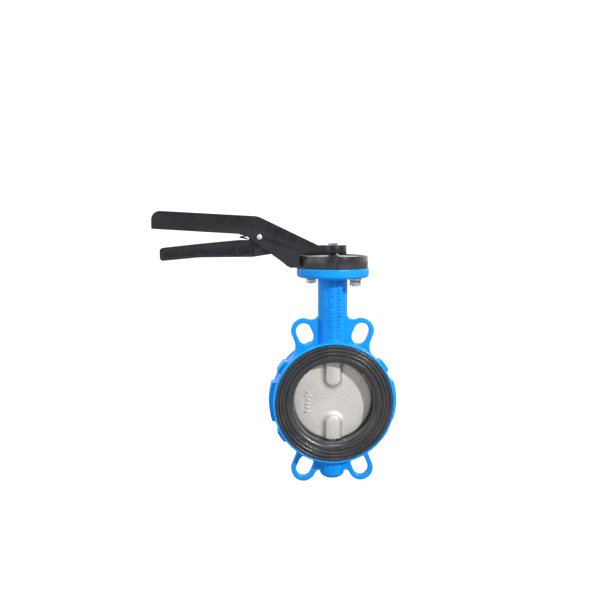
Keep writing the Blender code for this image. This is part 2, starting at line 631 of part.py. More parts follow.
def make_plate_fasteners():
    """Each bolt drops into its pocket; below the flange come a washer, a spring washer and a nut."""
    head_z = PLATE_TOP_Z - PLATE_RECESS - BOLT_POCKET_DEPTH + GAP
    washer_z = FLANGE_BOTTOM_Z - GAP - FLAT_WASHER_T
    spring_z = washer_z - GAP - SPRING_WASHER_T
    nut_z = spring_z - GAP - NUT_H
    hole = BOLT_R + GAP
    split = 8
    ring = arc((0, 0), SPRING_WASHER_R, split, 360 - split, 20) + arc((0, 0), hole, 360 - split, split, 20)
    for name, (x, y) in zip(("front", "rear"), bolt_places()):
        make_bolt(name, nut_z - BOLT_END, head_z, x, y)
        flat = tube(hole, FLAT_WASHER_R, washer_z, washer_z + FLAT_WASHER_T, SMALL_STEPS)
        placed(make_object("flat_washer_" + name, flat, "zinc"), x, y)
        spring = prism(ring, spring_z, spring_z + SPRING_WASHER_T, "Z")
        placed(make_object("spring_washer_" + name, spring, "zinc"), x, y)
        make_nut(name, nut_z, x, y)


# Lever --------------------------------------------------------------------------------------


def mitre(before, here, after, distance):
    """The corner that lies a wall's thickness below a corner of the lever's top line."""
    one = (here - before).normalized()
    two = (after - here).normalized()
    middle = Vector((one.y + two.y, -one.x - two.x)).normalized()
    return here + middle * distance / middle.dot(Vector((one.y, -one.x)))


def lever_top_line():
    return LEVER_TIP, LEVER_BEND, Vector((ARM_END_X, HUB_TOP_Z))


def lever_outline():
    tip, bend, arm_end = lever_top_line()
    heel_z = PLATE_Z + LEVER_LIFT
    corners = [
        (tip.x, tip.y, LEVER_TIP_ROUND), (bend.x, bend.y, LEVER_BEND_ROUND),
        (arm_end.x, arm_end.y, ARM_END_ROUND), (0.0, HUB_TOP_Z, 0), (0.0, HUB_Z, 0),
        (HEEL_X, HUB_Z, 0), (HEEL_X, heel_z, 0), (HEEL_X - LEVER_HEEL_L, heel_z, HEEL_ROUND),
        (LEVER_ELBOW.x, LEVER_ELBOW.y, ELBOW_ROUND), (tip.x, tip.y - LEVER_TIP_DEPTH, TIP_CORNER_ROUND),
    ]
    return rounded(corners, 6)


def channel_outline():
    """The hollow under the lever's roof, open below."""
    tip, bend, arm_end = lever_top_line()
    first = tip + Vector((LEVER_WALL, -LEVER_WALL))
    inner_bend = mitre(tip, bend, arm_end, LEVER_WALL)
    inner_end = mitre(bend, arm_end, arm_end + (arm_end - bend), LEVER_WALL)
    floor_z = PLATE_Z - PAST
    return rounded([
        (first.x, first.y, LEVER_TIP_ROUND - LEVER_WALL), (inner_bend.x, inner_bend.y, LEVER_BEND_ROUND),
        (inner_end.x, inner_end.y, 0), (inner_end.x, floor_z, 0), (first.x, floor_z, 0),
    ], 6)


def make_lever():
    lever = make_object("lever", prism(lever_outline(), -LEVER_HALF_W, LEVER_HALF_W), "black_paint")
    inside = LEVER_HALF_W - LEVER_WALL
    cut(lever, tool("cut_lever_channel", prism(channel_outline(), -inside, inside)))
    add(lever, tool("add_hub", rod(HUB_R, HUB_Z, HUB_TOP_Z + LEVER_HUB_PROUD, HUB_STEPS)))
    hub_middle = (HUB_Z + HUB_TOP_Z) / 2
    pin_hole = rod(PIN_R + GAP, -LEVER_HALF_W - PAST, LEVER_HALF_W + PAST, SMALL_STEPS, "Y")
    screw_hole = rod(SET_SCREW_R + GAP, DRIVE_HALF - PAST, HUB_R + PAST, SMALL_STEPS, "Y")
    hub_square = square(DRIVE_HALF + GAP, HUB_Z - PAST, HUB_TOP_Z + LEVER_HUB_PROUD + PAST)
    cut(lever, tool("cut_hub_square", hub_square),
        tool("cut_pin_hole", moved(pin_hole, PIVOT.x, 0, PIVOT.y)),
        tool("cut_set_screw", moved(screw_hole, 0, 0, hub_middle)))
    screw_end = HUB_R + SCREW_PROUD
    screw = make_object("lever_set_screw", moved(
        rod(SET_SCREW_R, DRIVE_HALF + GAP, screw_end, SMALL_STEPS, "Y"), 0, 0, hub_middle), "zinc")
    socket = prism(arc((0, hub_middle), SCREW_SOCKET_R, 0, 300, 5), screw_end - SCREW_SOCKET_DEPTH,
                   screw_end + PAST)
    cut(screw, tool("cut_screw_socket", socket))


def make_pivot_pin():
    head = -LEVER_HALF_W - PIN_PROUD
    end = LEVER_HALF_W + PIN_CLIP_END
    clip_y = LEVER_HALF_W + GAP
    groove = (clip_y - GAP / 2, clip_y + CLIP_T + GAP)
    groove_r = PIN_R - PIN_GROOVE
    profile = [(0, head), (PIN_R - PIN_CHAMFER, head), (PIN_R, head + PIN_CHAMFER), (PIN_R, groove[0]),
               (groove_r, groove[0]), (groove_r, groove[1]), (PIN_R, groove[1]), (PIN_R, end), (0, end)]
    pin = make_object("pivot_pin", turned(profile, SMALL_STEPS, "Y"), "zinc")
    pin.location = (PIVOT.x, 0, PIVOT.y)
    ring = arc((0, 0), CLIP_R, -60, 240, 20) + arc((0, 0), groove_r + GAP, 240, -60, 20)
    clip = make_object("pin_clip", prism(ring, clip_y, clip_y + CLIP_T), "steel")
    clip.location = (PIVOT.x, 0, PIVOT.y)


# Trigger ------------------------------------------------------------------------------------


def grip_outline():
    """The finger grip and the eye round the pin."""
    tip = TRIGGER_TIP
    half = TRIGGER_DEPTH / 2
    crown = tip + GRIP_CROWN
    belly = tip + GRIP_BELLY
    eye_back, eye_front, chin, heel = [PIVOT + corner for corner in (EYE_BACK, EYE_FRONT, CHIN, GRIP_HEEL)]
    return rounded([
        (tip.x, tip.y + half, GRIP_TIP_ROUND), (*crown, GRIP_CROWN_ROUND),
        (SPRING_X - SPRING_SEAT_HALF, SEAT_Z, SPRING_SEAT_ROUND),
        (SPRING_X + SPRING_SEAT_HALF, SEAT_Z, EYE_ROUND),
        (*eye_back, EYE_ROUND), (*eye_front, EYE_ROUND), (*chin, CHIN_ROUND), (*heel, GRIP_HEEL_ROUND),
        (*belly, GRIP_BELLY_ROUND), (tip.x, tip.y - half, GRIP_TIP_ROUND),
    ], 5)


def arm_outline():
    """From the eye, inside the lever, down to the tooth's block just outside the plate."""
    block_x = -PLATE_R - BLOCK_CLEAR
    back_x = block_x - BLOCK_L
    top, under = PIVOT + ARM_TOP, PIVOT + ARM_UNDER
    return rounded([
        (PIVOT.x, top.y, 0), (*top, ARM_ROUND), (back_x, TOOTH_Z + BLOCK_BACK_H, ARM_ROUND),
        (block_x, TOOTH_Z + TOOTH_H + BLOCK_WALL, BLOCK_ROUND),
        (block_x, TOOTH_Z - BLOCK_WALL / 2, BLOCK_ROUND),
        (back_x, TOOTH_Z - BLOCK_WALL, BLOCK_ROUND), (*under, CHIN_ROUND), (PIVOT.x, under.y, 0),
    ], 5)


def tooth_outline():
    """A wedge that reaches from its block to just short of the plate's rim."""
    tip_x = -(PLATE_R - SECTOR_STEP) - TOOTH_CLEAR
    root_x = -PLATE_R - BLOCK_CLEAR - TOOTH_ROOT
    return rounded([(tip_x, TOOTH_Z, TOOTH_ROUND), (tip_x, TOOTH_Z + TOOTH_H, TOOTH_ROUND),
                    (root_x, TOOTH_Z + TOOTH_H + TOOTH_TAPER, 0), (root_x, TOOTH_Z, 0)], 3)


def make_trigger():
    origin = (PIVOT.x, 0, PIVOT.y)
    grip = prism(grip_outline(), -TRIGGER_HALF_W, TRIGGER_HALF_W)
    trigger = make_object("trigger", grip, "black_paint", origin)
    add(trigger, tool("add_arm", prism(arm_outline(), -ARM_HALF_W, ARM_HALF_W)),
        tool("add_tooth", prism(tooth_outline(), -TOOTH_HALF_W, TOOTH_HALF_W)))
    eye = rod(PIN_R + GAP, -TRIGGER_HALF_W - PAST, TRIGGER_HALF_W + PAST, SMALL_STEPS, "Y")
    cut(trigger, tool("cut_trigger_eye", moved(eye, PIVOT.x, 0, PIVOT.y)))


def make_trigger_spring():
    """A coil spring that stands on the trigger and bears under the lever's roof."""
    tip, bend, _ = lever_top_line()
    slope = (tip.y - bend.y) / (bend.x - tip.x)
    roof_z = bend.y + (bend.x - SPRING_X - SPRING_R) * slope - LEVER_WALL
    low = SEAT_Z + GAP + SPRING_WIRE_R
    high = roof_z - 2 * GAP - SPRING_WIRE_R
    count = SPRING_TURNS * SPRING_TURN_STEPS
    curve = bpy.data.curves.new("trigger_spring", "CURVE")
    curve.dimensions = "3D"
    curve.bevel_depth = SPRING_WIRE_R
    curve.bevel_resolution = 1
    curve.use_fill_caps = True
    line = curve.splines.new("POLY")
    line.points.add(count)
    for i, point in enumerate(line.points):
        turn = 2 * math.pi * i / SPRING_TURN_STEPS
        z = low + (high - low) * i / count
        x, y = SPRING_R * math.cos(turn), SPRING_R * math.sin(turn)
        point.co = (x, y, z, 1.0)
    spring = bpy.data.objects.new("trigger_spring", curve)
    spring.location = (SPRING_X, 0, 0)
    bpy.context.scene.collection.objects.link(spring)
    curve.materials.append(material("steel"))


def main():
    clear_scene()
    make_body()
    make_seat()
    make_disc()
    make_stems()
    make_stem_guides()
    make_stem_retainers()
    make_bottom_plug()
    make_notch_plate()
    make_plate_fasteners()
    make_lever()
    make_pivot_pin()
    make_trigger()
    make_trigger_spring()


main()
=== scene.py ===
"""The look of a lever-operated wafer butterfly valve, DN100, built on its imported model.

Frame: the origin is where the pipe's axis crosses the stem's axis. +Y runs along the pipe,
+Z up the stem, and the lever points to -X with the disc closed. Lengths are in metres.
"""

import math

import bmesh
import bpy
from mathutils import Matrix, Vector


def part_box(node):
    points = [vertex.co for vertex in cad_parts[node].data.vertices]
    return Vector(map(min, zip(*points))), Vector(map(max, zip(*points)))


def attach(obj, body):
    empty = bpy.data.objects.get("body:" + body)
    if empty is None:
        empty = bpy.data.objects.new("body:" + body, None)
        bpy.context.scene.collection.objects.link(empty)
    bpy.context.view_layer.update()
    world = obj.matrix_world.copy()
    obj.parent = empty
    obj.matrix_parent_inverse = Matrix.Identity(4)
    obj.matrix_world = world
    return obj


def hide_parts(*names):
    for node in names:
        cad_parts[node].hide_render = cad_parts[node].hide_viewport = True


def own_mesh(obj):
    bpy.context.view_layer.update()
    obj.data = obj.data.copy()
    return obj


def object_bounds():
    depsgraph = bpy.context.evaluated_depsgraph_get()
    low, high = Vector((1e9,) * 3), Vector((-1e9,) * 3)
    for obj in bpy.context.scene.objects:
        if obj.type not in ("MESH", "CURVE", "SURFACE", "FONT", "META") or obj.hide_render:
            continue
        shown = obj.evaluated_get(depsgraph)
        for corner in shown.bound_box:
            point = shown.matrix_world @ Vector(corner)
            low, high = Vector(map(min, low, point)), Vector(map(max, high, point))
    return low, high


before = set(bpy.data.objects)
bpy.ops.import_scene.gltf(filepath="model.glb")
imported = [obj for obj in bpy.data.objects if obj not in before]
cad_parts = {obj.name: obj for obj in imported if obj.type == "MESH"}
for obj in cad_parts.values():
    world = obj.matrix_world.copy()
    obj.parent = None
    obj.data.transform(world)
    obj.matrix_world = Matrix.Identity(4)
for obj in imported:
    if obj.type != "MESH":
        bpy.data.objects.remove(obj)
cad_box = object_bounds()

MM = 0.001
GAP = 0.3 * MM
PAST = 1.0 * MM  # how far a cutting tool runs past the face it cuts

# Bore, seat and casting
BORE_R = 50.0 * MM
FACE_Y = 26.0 * MM
CAST_FACE_Y = 25.0 * MM
SEAT_OUTER_R = 58.0 * MM
SEAT_FLANGE_R = 71.8 * MM
SEAT_STEP_Y = 21.0 * MM
SEAT_EDGE_R = 0.8 * MM
SEAT_GROOVES = ((68.0, 1.3, 1.3), (63.6, 1.4, 1.3), (59.3, 1.4, 1.3))  # radius, half width, depth in mm
SEAT_LIP_START = 56.2 * MM
SEAT_LIP_DEEP_Y = 18.5 * MM
RIM_R = 75.2 * MM
RIM_W = 5.5 * MM
CHANNEL_DEPTH = 1.6 * MM
PAD_R = 79.5 * MM
PAD_HALF_W = 11.0 * MM
PAD_SLOPE = 2.2  # degrees
PAD_SPANS = ((-20, 20), (27, 42), (138, 153), (160, 200), (207, 222), (318, 333))
EAR_T = 10.0 * MM
SLOT_W = 19.0 * MM
SLOT_L = 27.0 * MM
LOOP_R = 15.5 * MM
BOLT_CIRCLE_R = 90.4 * MM
EAR_ANGLE = 22.5
EAR_FILLET = 9.0 * MM
UPPER_EAR_FOOT_R = 20.0 * MM
LOWER_EAR_FOOT_R = 12.0 * MM
WEB_DROP = 1.7 * MM
LOWER_WEB_RISE = 2.0 * MM
EAR_ROOT = 4.0 * MM
EAR_INTO_PAD = 4  # degrees that an ear's flank runs on behind the next pad
EAR_TAIL = 0.9  # of the ring's radius, well inside the casting
NECK_R = 18.25 * MM
NECK_BORE_R = 11.0 * MM
BOSS_R = 15.0 * MM
BOSS_BOTTOM_Z = -98.0 * MM
BOSS_CHAMFER = 4.5 * MM
FLANGE_R = 44.5 * MM
FLANGE_EDGE_R = 4.0 * MM
FLANGE_FILLET = 3.0 * MM
FLANGE_BOTTOM_Z = 153.5 * MM
FLANGE_TOP_Z = 165.0 * MM
BOLT_ROW_R = 35.0 * MM
COUNTERBORE_R = 14.3 * MM
COUNTERBORE_Z = 160.8 * MM
NECK_FOOT_R = 62.0 * MM  # where the neck and the boss start, inside the ring
RING_OVERLAP = 3.0 * MM  # the ring is cast this much thicker, then cut to the seat
CASTING_VOXEL = 0.9 * MM

# Raised bars, in place of cast lettering
BAR_EDGE = 0.25 * MM
BAR_SUNK = 0.6 * MM
NECK_BAR_COLUMNS = (-3.8 * MM, 6.8 * MM)
NECK_BAR_ROWS = 17
NECK_BAR_START = 82.0 * MM
NECK_BAR_STEP = 4.1 * MM
NECK_BAR_L = 6.4 * MM
NECK_BAR_LENGTHS = (1.0, 0.5, 1.0, 0.7, 0.4, 1.0, 0.6)
NECK_BAR_PIECES = 4
NECK_BAR_PIECE_W = 1.2 * MM
NECK_BAR_H = 2.3 * MM
NECK_BAR_RISE = 1.0 * MM
BOSS_BAR = (0.6 * MM, -84.0 * MM, 1.6 * MM, 5.0 * MM)  # x, z, width, height
BOSS_BAR_RISE = 0.6 * MM
DISC_BAR_X = -31.0 * MM
DISC_BAR_START = -14.0 * MM
DISC_BAR_STEP = 5.0 * MM
DISC_BAR_WIDTHS = (8.0 * MM, 5.0 * MM) * 3
DISC_BAR_H = 2.2 * MM
DISC_BAR_RISE = 1.5 * MM

# Disc and stems
DISC_R = 49.6 * MM
DISC_T = 9.0 * MM
DISC_BOSS_R = 10.3 * MM
DISC_BOSS_END_Z = 19.5 * MM
DISC_RIM_ROUND = 2.4 * MM
BOSS_FACE_R = 8.6 * MM
BOSS_CROWN = 0.7 * MM
BOSS_FOOT_W = 8.0 * MM
BOSS_FOOT_POWER = 2.8
DISC_VOXEL = 0.5 * MM
STEM_IN_DISC = 25.0 * MM
DRIVE_L = 10.0 * MM
STEM_HOLE_R = 8.2 * MM
DRIVE_HALF = 5.5 * MM

# Notch plate and its fasteners
PLATE_R = 43.2 * MM
PLATE_Z = 165.3 * MM
PLATE_TOP_Z = 180.5 * MM
PLATE_RIM_W = 2.7 * MM
PLATE_RECESS = 1.5 * MM
SECTOR_STEP = 0.6 * MM
STEP_RAMP = 9  # degrees from the swept sector to the full rim
NOTCH_DEPTH = 2.6 * MM
PLATE_EDGE = 0.8 * MM
BOLT_R = 4.0 * MM
BOLT_HOLE_R = 4.5 * MM
BOLT_HEAD_R = 6.5 * MM
BOLT_SOCKET_R = 3.4 * MM
BOLT_POCKET_DEPTH = 8.5 * MM
BOLT_POCKET_CLEAR = 0.3 * MM
BOLT_HEAD_CHAMFER = 0.6 * MM
BOLT_SOCKET_FLOOR = 4.0 * MM  # above the head's underside
NUT_R = 7.0 * MM
NUT_TRIM = 1.8 * MM  # off the lower end, for a thin nut
NUT_CHAMFER = 0.9 * MM
WASHER_CHAMFER = 0.25 * MM
THREAD_PITCH = 1.25 * MM
THREAD_DEPTH = 0.5 * MM
THREAD_ROWS = 6  # to a pitch
SHANK_SUNK = 0.2 * MM  # into the head

# Lever
LEVER_HALF_W = 13.5 * MM
LEVER_WALL = 2.8 * MM
LEVER_TIP = Vector((-219.3, 235.2)) * MM
LEVER_BEND = Vector((-92.0, 228.3)) * MM
LEVER_TIP_DEPTH = 22.0 * MM
LEVER_TIP_ROUND = 10.5 * MM
LEVER_BEND_ROUND = 22.0 * MM
LEVER_ELBOW = Vector((-109.0, 206.6)) * MM
LEVER_ELBOW_ROUND = 12.0 * MM
LEVER_LIP_ROUND = 1.0 * MM
LEVER_EDGE = 0.9 * MM
ARM_END_X = -15.5 * MM
ARM_END_ROUND = 14.0 * MM
HEEL_X = -39.0 * MM
HEEL_GAP = 0.5 * MM  # round the plate
HEEL_L = 10.0 * MM
HEEL_Z = 166.0 * MM
HEEL_ROUND = 1.5 * MM
HUB_R = 17.0 * MM
HUB_Z = 181.2 * MM
HUB_TOP_Z = 191.5 * MM
HUB_PROUD = 1.6 * MM
CHANNEL_BOTTOM_Z = 160.3 * MM
SET_SCREW_R = 3.0 * MM

# Trigger, its pin and spring
PIVOT = Vector((-90.2, 203.4)) * MM
PIN_R = 3.2 * MM
PIN_PROUD = 0.8 * MM
PIN_CLIP_END = 2.6 * MM
CLIP_T = 0.8 * MM
PIN_GROOVE = 0.8 * MM
PIN_DOME_R = 4.2 * MM
PIN_HEAD_T = 1.1 * MM
PIN_CHAMFER = 0.5 * MM
TRIGGER_HALF_W = 10.2 * MM
TRIGGER_TIP = Vector((-210.2, 182.2)) * MM
TRIGGER_DEPTH = 15.6 * MM
TRIGGER_EDGE = 0.6 * MM
PANEL_DEPTH = 1.7 * MM
PANEL_START = 5.0 * MM  # from the tip
PANEL_END = 7.0 * MM  # short of the pivot
GRIP_BORDER = 2.4 * MM
RIB_HALF_W = 1.6 * MM
RIB_PLACES = (-165.5 * MM, -118.6 * MM)
ARM_HALF_W = 6.0 * MM
TOOTH_HALF_W = 1.7 * MM
TOOTH_Z = 168.6 * MM
TOOTH_H = 4.0 * MM
TOOTH_CLEAR = 0.4 * MM
TOOTH_L = 8.0 * MM
TOOTH_ROUND = 0.6 * MM
TOOTH_BACK_RISE = 1.0 * MM
TOOTH_BLOCK_GAP = 3.5 * MM  # from the plate
LATCH_SWING = 3.5
SPRING_X = -109.5 * MM
SEAT_Z = 199.6 * MM
SPRING_R = 4.2 * MM
SPRING_WIRE_R = 0.95 * MM
SPRING_TURNS = 6

# Camera and light
CAMERA_AT = (-0.10542, -0.9857, 0.22333)
CAMERA_YAW = 3.77  # degrees to the right of +Y
CAMERA_PITCH = 5.66  # degrees down
CAMERA_LENS = 48.23
KEY_PLACE = (1.40, -2.05, 1.25)  # from the disc's middle
KEY_SIZE = 0.18
KEY_POWER = 74.0  # watts
SIDE_PLACE = (-1.6, -1.8, 0.7)
SIDE_SIZE = 1.7
SIDE_POWER = 5.0
TOP_PLACE = (0.2, -0.7, 2.2)
TOP_SIZE = 0.7
TOP_POWER = 20.0
ROOM_FRONT = 0.21
ROOM_BACK = 1.25
ROOM_LEFT = 0.9
FLOOR_DROP = 0.3 * MM


# Shapes -------------------------------------------------------------------------------------


def arc(centre, radius, start, end, count):
    """Points from start to end, in degrees, both ends included."""
    turns = [math.radians(start + (end - start) * i / count) for i in range(count + 1)]
    return [(centre[0] + radius * math.cos(t), centre[1] + radius * math.sin(t)) for t in turns]


def rounded(corners, count=8):
    """A closed outline through (x, z, radius) corners, each rounded to its radius."""
    points = []
    for i, (x, z, radius) in enumerate(corners):
        here = Vector((x, z))
        before = (Vector(corners[i - 1][:2]) - here).normalized()
        after = (Vector(corners[(i + 1) % len(corners)][:2]) - here).normalized()
        if radius == 0:
            points.append((x, z))
            continue
        half = before.angle(after) / 2
        centre = here + (before + after).normalized() * radius / math.sin(half)
        first = here + before * radius / math.tan(half) - centre
        last = here + after * radius / math.tan(half) - centre
        turn = first.angle_signed(last)
        for k in range(count + 1):
            points.append(centre + Matrix.Rotation(-turn * k / count, 2) @ first)
    return [tuple(p) for p in points]


def chamfered(outer, low, high, size, inner=0.0):
    """A (radius, height) outline whose outer corners are cut back by size."""
    return [(inner, low), (outer - size, low), (outer, low + size),
            (outer, high - size), (outer - size, high), (inner, high)]


def turned(outline, steps, along="Z"):
    """A turned shape. The outline is closed, as (radius, height along the axis) points."""
    axes = {"Y": Vector((0, 1, 0)), "Z": Vector((0, 0, 1))}
    axis = axes[along]
    bm = bmesh.new()
    verts = [bm.verts.new(Vector((r, 0, 0)) + axis * h) for r, h in outline]
    edges = [bm.edges.new((verts[i - 1], verts[i])) for i in range(len(verts))
             if outline[i - 1][0] > 0 or outline[i][0] > 0]
    bmesh.ops.spin(bm, geom=verts + edges, cent=(0, 0, 0), axis=axis, angle=2 * math.pi,
                   steps=steps, use_merge=True)
    return clean(bm)


def rod(radius, low, high, steps=48, along="Z"):
    return turned([(0, low), (radius, low), (radius, high), (0, high)], steps, along)


def prism(outline, low, high, along="Y"):
    """An outline in X and Z drawn out along Y, or in X and Y drawn out along Z."""
    bm = bmesh.new()
    place = (lambda a, b, h: (a, h, b)) if along == "Y" else (lambda a, b, h: (a, b, h))
    verts = [bm.verts.new(place(a, b, low)) for a, b in outline]
    made = bmesh.ops.extrude_face_region(bm, geom=[bm.faces.new(verts)])["geom"]
    shift = Vector(place(0, 0, high)) - Vector(place(0, 0, low))
    bmesh.ops.translate(bm, vec=shift, verts=[v for v in made if isinstance(v, bmesh.types.BMVert)])
    return clean(bm)


def clean(bm):
    bmesh.ops.remove_doubles(bm, verts=bm.verts, dist=1e-6)
    bmesh.ops.recalc_face_normals(bm, faces=bm.faces)
    return bm


def square(half, low, high):
    return prism([(-half, -half), (half, -half), (half, half), (-half, half)], low, high, "Z")


def hexagon(radius, low, high):
    return prism(arc((0, 0), radius, 0, 300, 5), low, high, "Z")


def moved(bm, x, y, z=0.0):
    bmesh.ops.translate(bm, verts=bm.verts, vec=(x, y, z))
    return bm


def joined(*shapes):
    bm = bmesh.new()
    for shape in shapes:
        other = bpy.data.meshes.new("scratch")
        shape.to_mesh(other)
        shape.free()
        bm.from_mesh(other)
        bpy.data.meshes.remove(other)
    return bm


# Objects ------------------------------------------------------------------------------------


def new_object(name, bm):
    mesh = bpy.data.meshes.new(name)
    bm.to_mesh(mesh)
    bm.free()
    obj = bpy.data.objects.new(name, mesh)
    bpy.context.scene.collection.objects.link(obj)
    return obj


def settle(obj):
    """Its modifiers become its mesh."""
    shown = obj.evaluated_get(bpy.context.evaluated_depsgraph_get())
    mesh = bpy.data.meshes.new_from_object(shown)
    obj.modifiers.clear()
    obj.data = mesh
    return obj


def combine(obj, operation, shapes):
    """Each shape, or list of shapes that don't touch, is united with or cut from obj."""
    tools = []
    for shape in shapes:
        tools.append(new_object("scratch", joined(*shape) if isinstance(shape, list) else shape))
        step = obj.modifiers.new("combine", "BOOLEAN")
        step.operation = operation
        step.object = tools[-1]
        step.solver = "EXACT"
    settle(obj)
    for made in tools:
        bpy.data.objects.remove(made)
    return obj


def add(obj, *shapes):
    return combine(obj, "UNION", shapes)


def cut(obj, *shapes):
    return combine(obj, "DIFFERENCE", shapes)


def put_beside(obj, shape):
    """A shape that needs no uniting goes into obj's mesh as it is."""
    own = bmesh.new()
    own.from_mesh(obj.data)
    both = joined(own, shape)
    both.to_mesh(obj.data)
    both.free()


def soften(obj, width, segments=3, angle=30):
    """Rounds every edge sharper than angle, in degrees, and marks the rounded faces as edges."""
    obj.data.materials.clear()
    for _ in range(2):
        obj.data.materials.append(None)
    bevel = obj.modifiers.new("soften", "BEVEL")
    bevel.width = width
    bevel.segments = segments
    bevel.limit_method = "ANGLE"
    bevel.angle_limit = math.radians(angle)
    bevel.material = 1
    settle(obj)
    rounded_faces = [float(p.material_index == 1) for p in obj.data.polygons]
    obj.data.attributes.new("edge", "FLOAT", "FACE").data.foreach_set("value", rounded_faces)
    for polygon in obj.data.polygons:
        polygon.material_index = 0
    return obj


def cast(obj, voxel, passes):
    """Melts the edges together as a sand casting's are."""
    remesh = obj.modifiers.new("cast", "REMESH")
    remesh.mode = "VOXEL"
    remesh.voxel_size = voxel
    smooth = obj.modifiers.new("melt", "SMOOTH")
    smooth.factor = 0.5
    smooth.iterations = passes
    return settle(obj)


def finish_piece(obj, body, finish, replaces=(), sharp=40):
    """Shades and paints a piece, hangs it on its body and hides the parts it replaces."""
    mesh = obj.data
    mesh.materials.clear()
    mesh.materials.append(finish)
    mesh.shade_smooth()
    mesh.set_sharp_from_angle(angle=math.radians(sharp))
    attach(obj, body)
    if replaces:
        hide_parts(*replaces)
    return obj


# Materials ----------------------------------------------------------------------------------


class Finish:
    """A material whose colour, roughness and bump come from nodes in the object's own space."""

    def __init__(self, name, **values):
        self.material = bpy.data.materials.new(name)
        self.material.use_nodes = True
        self.tree = self.material.node_tree
        self.shader = self.tree.nodes["Principled BSDF"]
        self.place = self.tree.nodes.new("ShaderNodeTexCoord").outputs["Object"]
        for key, value in values.items():
            self.shader.inputs[key.replace("_", " ")].default_value = value

    def node(self, kind, links=None, **values):
        node = self.tree.nodes.new("ShaderNode" + kind)
        for key, value in values.items():
            setattr(node, key, value)
        for key, value in (links or {}).items():
            self.put(node.inputs[key], value)
        return node

    def put(self, socket, value):
        if isinstance(value, bpy.types.NodeSocket):
            self.tree.links.new(value, socket)
        else:
            socket.default_value = value

    def noise(self, scale, detail=3.0, roughness=0.55):
        return self.node("TexNoise", {"Vector": self.place, "Scale": scale, "Detail": detail,
                                      "Roughness": roughness}).outputs["Fac"]

    def range(self, value, low, high, to_low, to_high):
        return self.node("MapRange", {"Value": value, "From Min": low, "From Max": high,
                                      "To Min": to_low, "To Max": to_high}).outputs["Result"]

    def mix(self, share, one, two):
        node = self.node("Mix", data_type="RGBA")
        self.put(node.inputs["Factor"], share)
        self.put(node.inputs[6], one)
        self.put(node.inputs[7], two)
        return node.outputs[2]

    def edges(self, low, high):
        """1 on an outward edge of a dense mesh and 0 elsewhere."""
        pointiness = self.node("NewGeometry").outputs["Pointiness"]
        return self.range(pointiness, low, high, 0.0, 1.0)

    def rounded_edges(self):
        """1 on the faces that soften() made."""
        return self.node("Attribute", attribute_name="edge").outputs["Fac"]

    def multiply(self, one, two):
        return self.node("Math", {0: one, 1: two}, operation="MULTIPLY").outputs[0]

    def colour(self, value):
        self.put(self.shader.inputs["Base Color"], value)

    def rough(self, value):
        self.put(self.shader.inputs["Roughness"], value)

    def bump(self, *layers):
        """Each layer is (height, depth in metres)."""
        normal = None
        for height, depth in layers:
            node = self.node("Bump", {"Height": height, "Distance": depth, "Strength": 1.0})
            if normal:
                self.put(node.inputs["Normal"], normal)
            normal = node.outputs["Normal"]
        self.put(self.shader.inputs["Normal"], normal)


def rgb(red, green, blue):
    return (red, green, blue, 1.0)


def make_body_paint():
    paint = Finish("blue_casting_paint", Specular_IOR_Level=0.16, Coat_Weight=0.10,
                   Coat_Roughness=0.12)
    patches = paint.range(paint.noise(28, 2), 0.35, 0.65, 0.0, 1.0)
    blue = paint.mix(patches, rgb(0.001, 0.252, 0.77), rgb(0.002, 0.290, 0.85))
    # Lighter blue in patches along outward edges.
    edge_patches = paint.range(paint.noise(160, 4), 0.45, 0.62, 0.0, 0.35)
    lighter_edges = paint.multiply(paint.edges(0.53, 0.62), edge_patches)
    paint.colour(paint.mix(lighter_edges, blue, rgb(0.06, 0.40, 0.88)))
    paint.rough(paint.range(paint.noise(220, 3), 0.3, 0.7, 0.30, 0.46))
    paint.bump((paint.noise(330, 3), 0.22 * MM), (paint.noise(900, 2), 0.06 * MM))
    return paint.material


def make_rubber():
    rubber = Finish("black_rubber", Specular_IOR_Level=0.55)
    dust = rubber.range(rubber.noise(60, 5), 0.42, 0.72, 0.0, 1.0)
    rubber.colour(rubber.mix(dust, rgb(0.024, 0.025, 0.029), rgb(0.040, 0.038, 0.039)))
    rubber.rough(rubber.range(dust, 0.0, 1.0, 0.26, 0.36))
    rubber.bump((rubber.noise(1400, 2), 0.015 * MM), (rubber.noise(60, 3), 0.03 * MM))
    return rubber.material


def make_disc_metal():
    metal = Finish("blasted_disc_metal", Metallic=0.7, Specular_IOR_Level=0.5)
    stain = metal.range(metal.noise(34, 4), 0.35, 0.68, 0.0, 1.0)
    grain = metal.range(metal.noise(620, 3, 0.7), 0.38, 0.62, 0.0, 1.0)
    tone = metal.mix(stain, rgb(0.64, 0.61, 0.58), rgb(0.74, 0.71, 0.68))
    metal.colour(metal.mix(metal.multiply(grain, 0.42), tone, rgb(0.42, 0.40, 0.37)))
    metal.rough(metal.range(grain, 0.0, 1.0, 0.48, 0.62))
    metal.bump((metal.noise(1100, 2, 0.7), 0.22 * MM), (metal.noise(260, 3), 0.16 * MM))
    return metal.material


def make_enamel(name, dark, light, rough_low, rough_high, grain, coat):
    enamel = Finish(name, Specular_IOR_Level=0.5, Coat_Weight=coat, Coat_Roughness=0.2)
    patches = enamel.range(enamel.noise(45, 4), 0.35, 0.65, 0.0, 1.0)
    base = enamel.mix(patches, dark, light)
    # Painted highlight and wear: the rounded edges are lighter grey, in patches, as where light catches
    # them.
    highlight_and_wear_patches = enamel.range(enamel.noise(240, 5), 0.42, 0.62, 0.2, 0.9)
    lighter_edges = enamel.multiply(enamel.rounded_edges(), highlight_and_wear_patches)
    enamel.colour(enamel.mix(lighter_edges, base, rgb(0.20, 0.20, 0.215)))
    enamel.rough(enamel.range(enamel.noise(150, 4), 0.3, 0.7, rough_low, rough_high))
    enamel.bump((enamel.noise(grain, 3), 0.035 * MM), (enamel.noise(grain * 3, 2), 0.01 * MM))
    return enamel.material


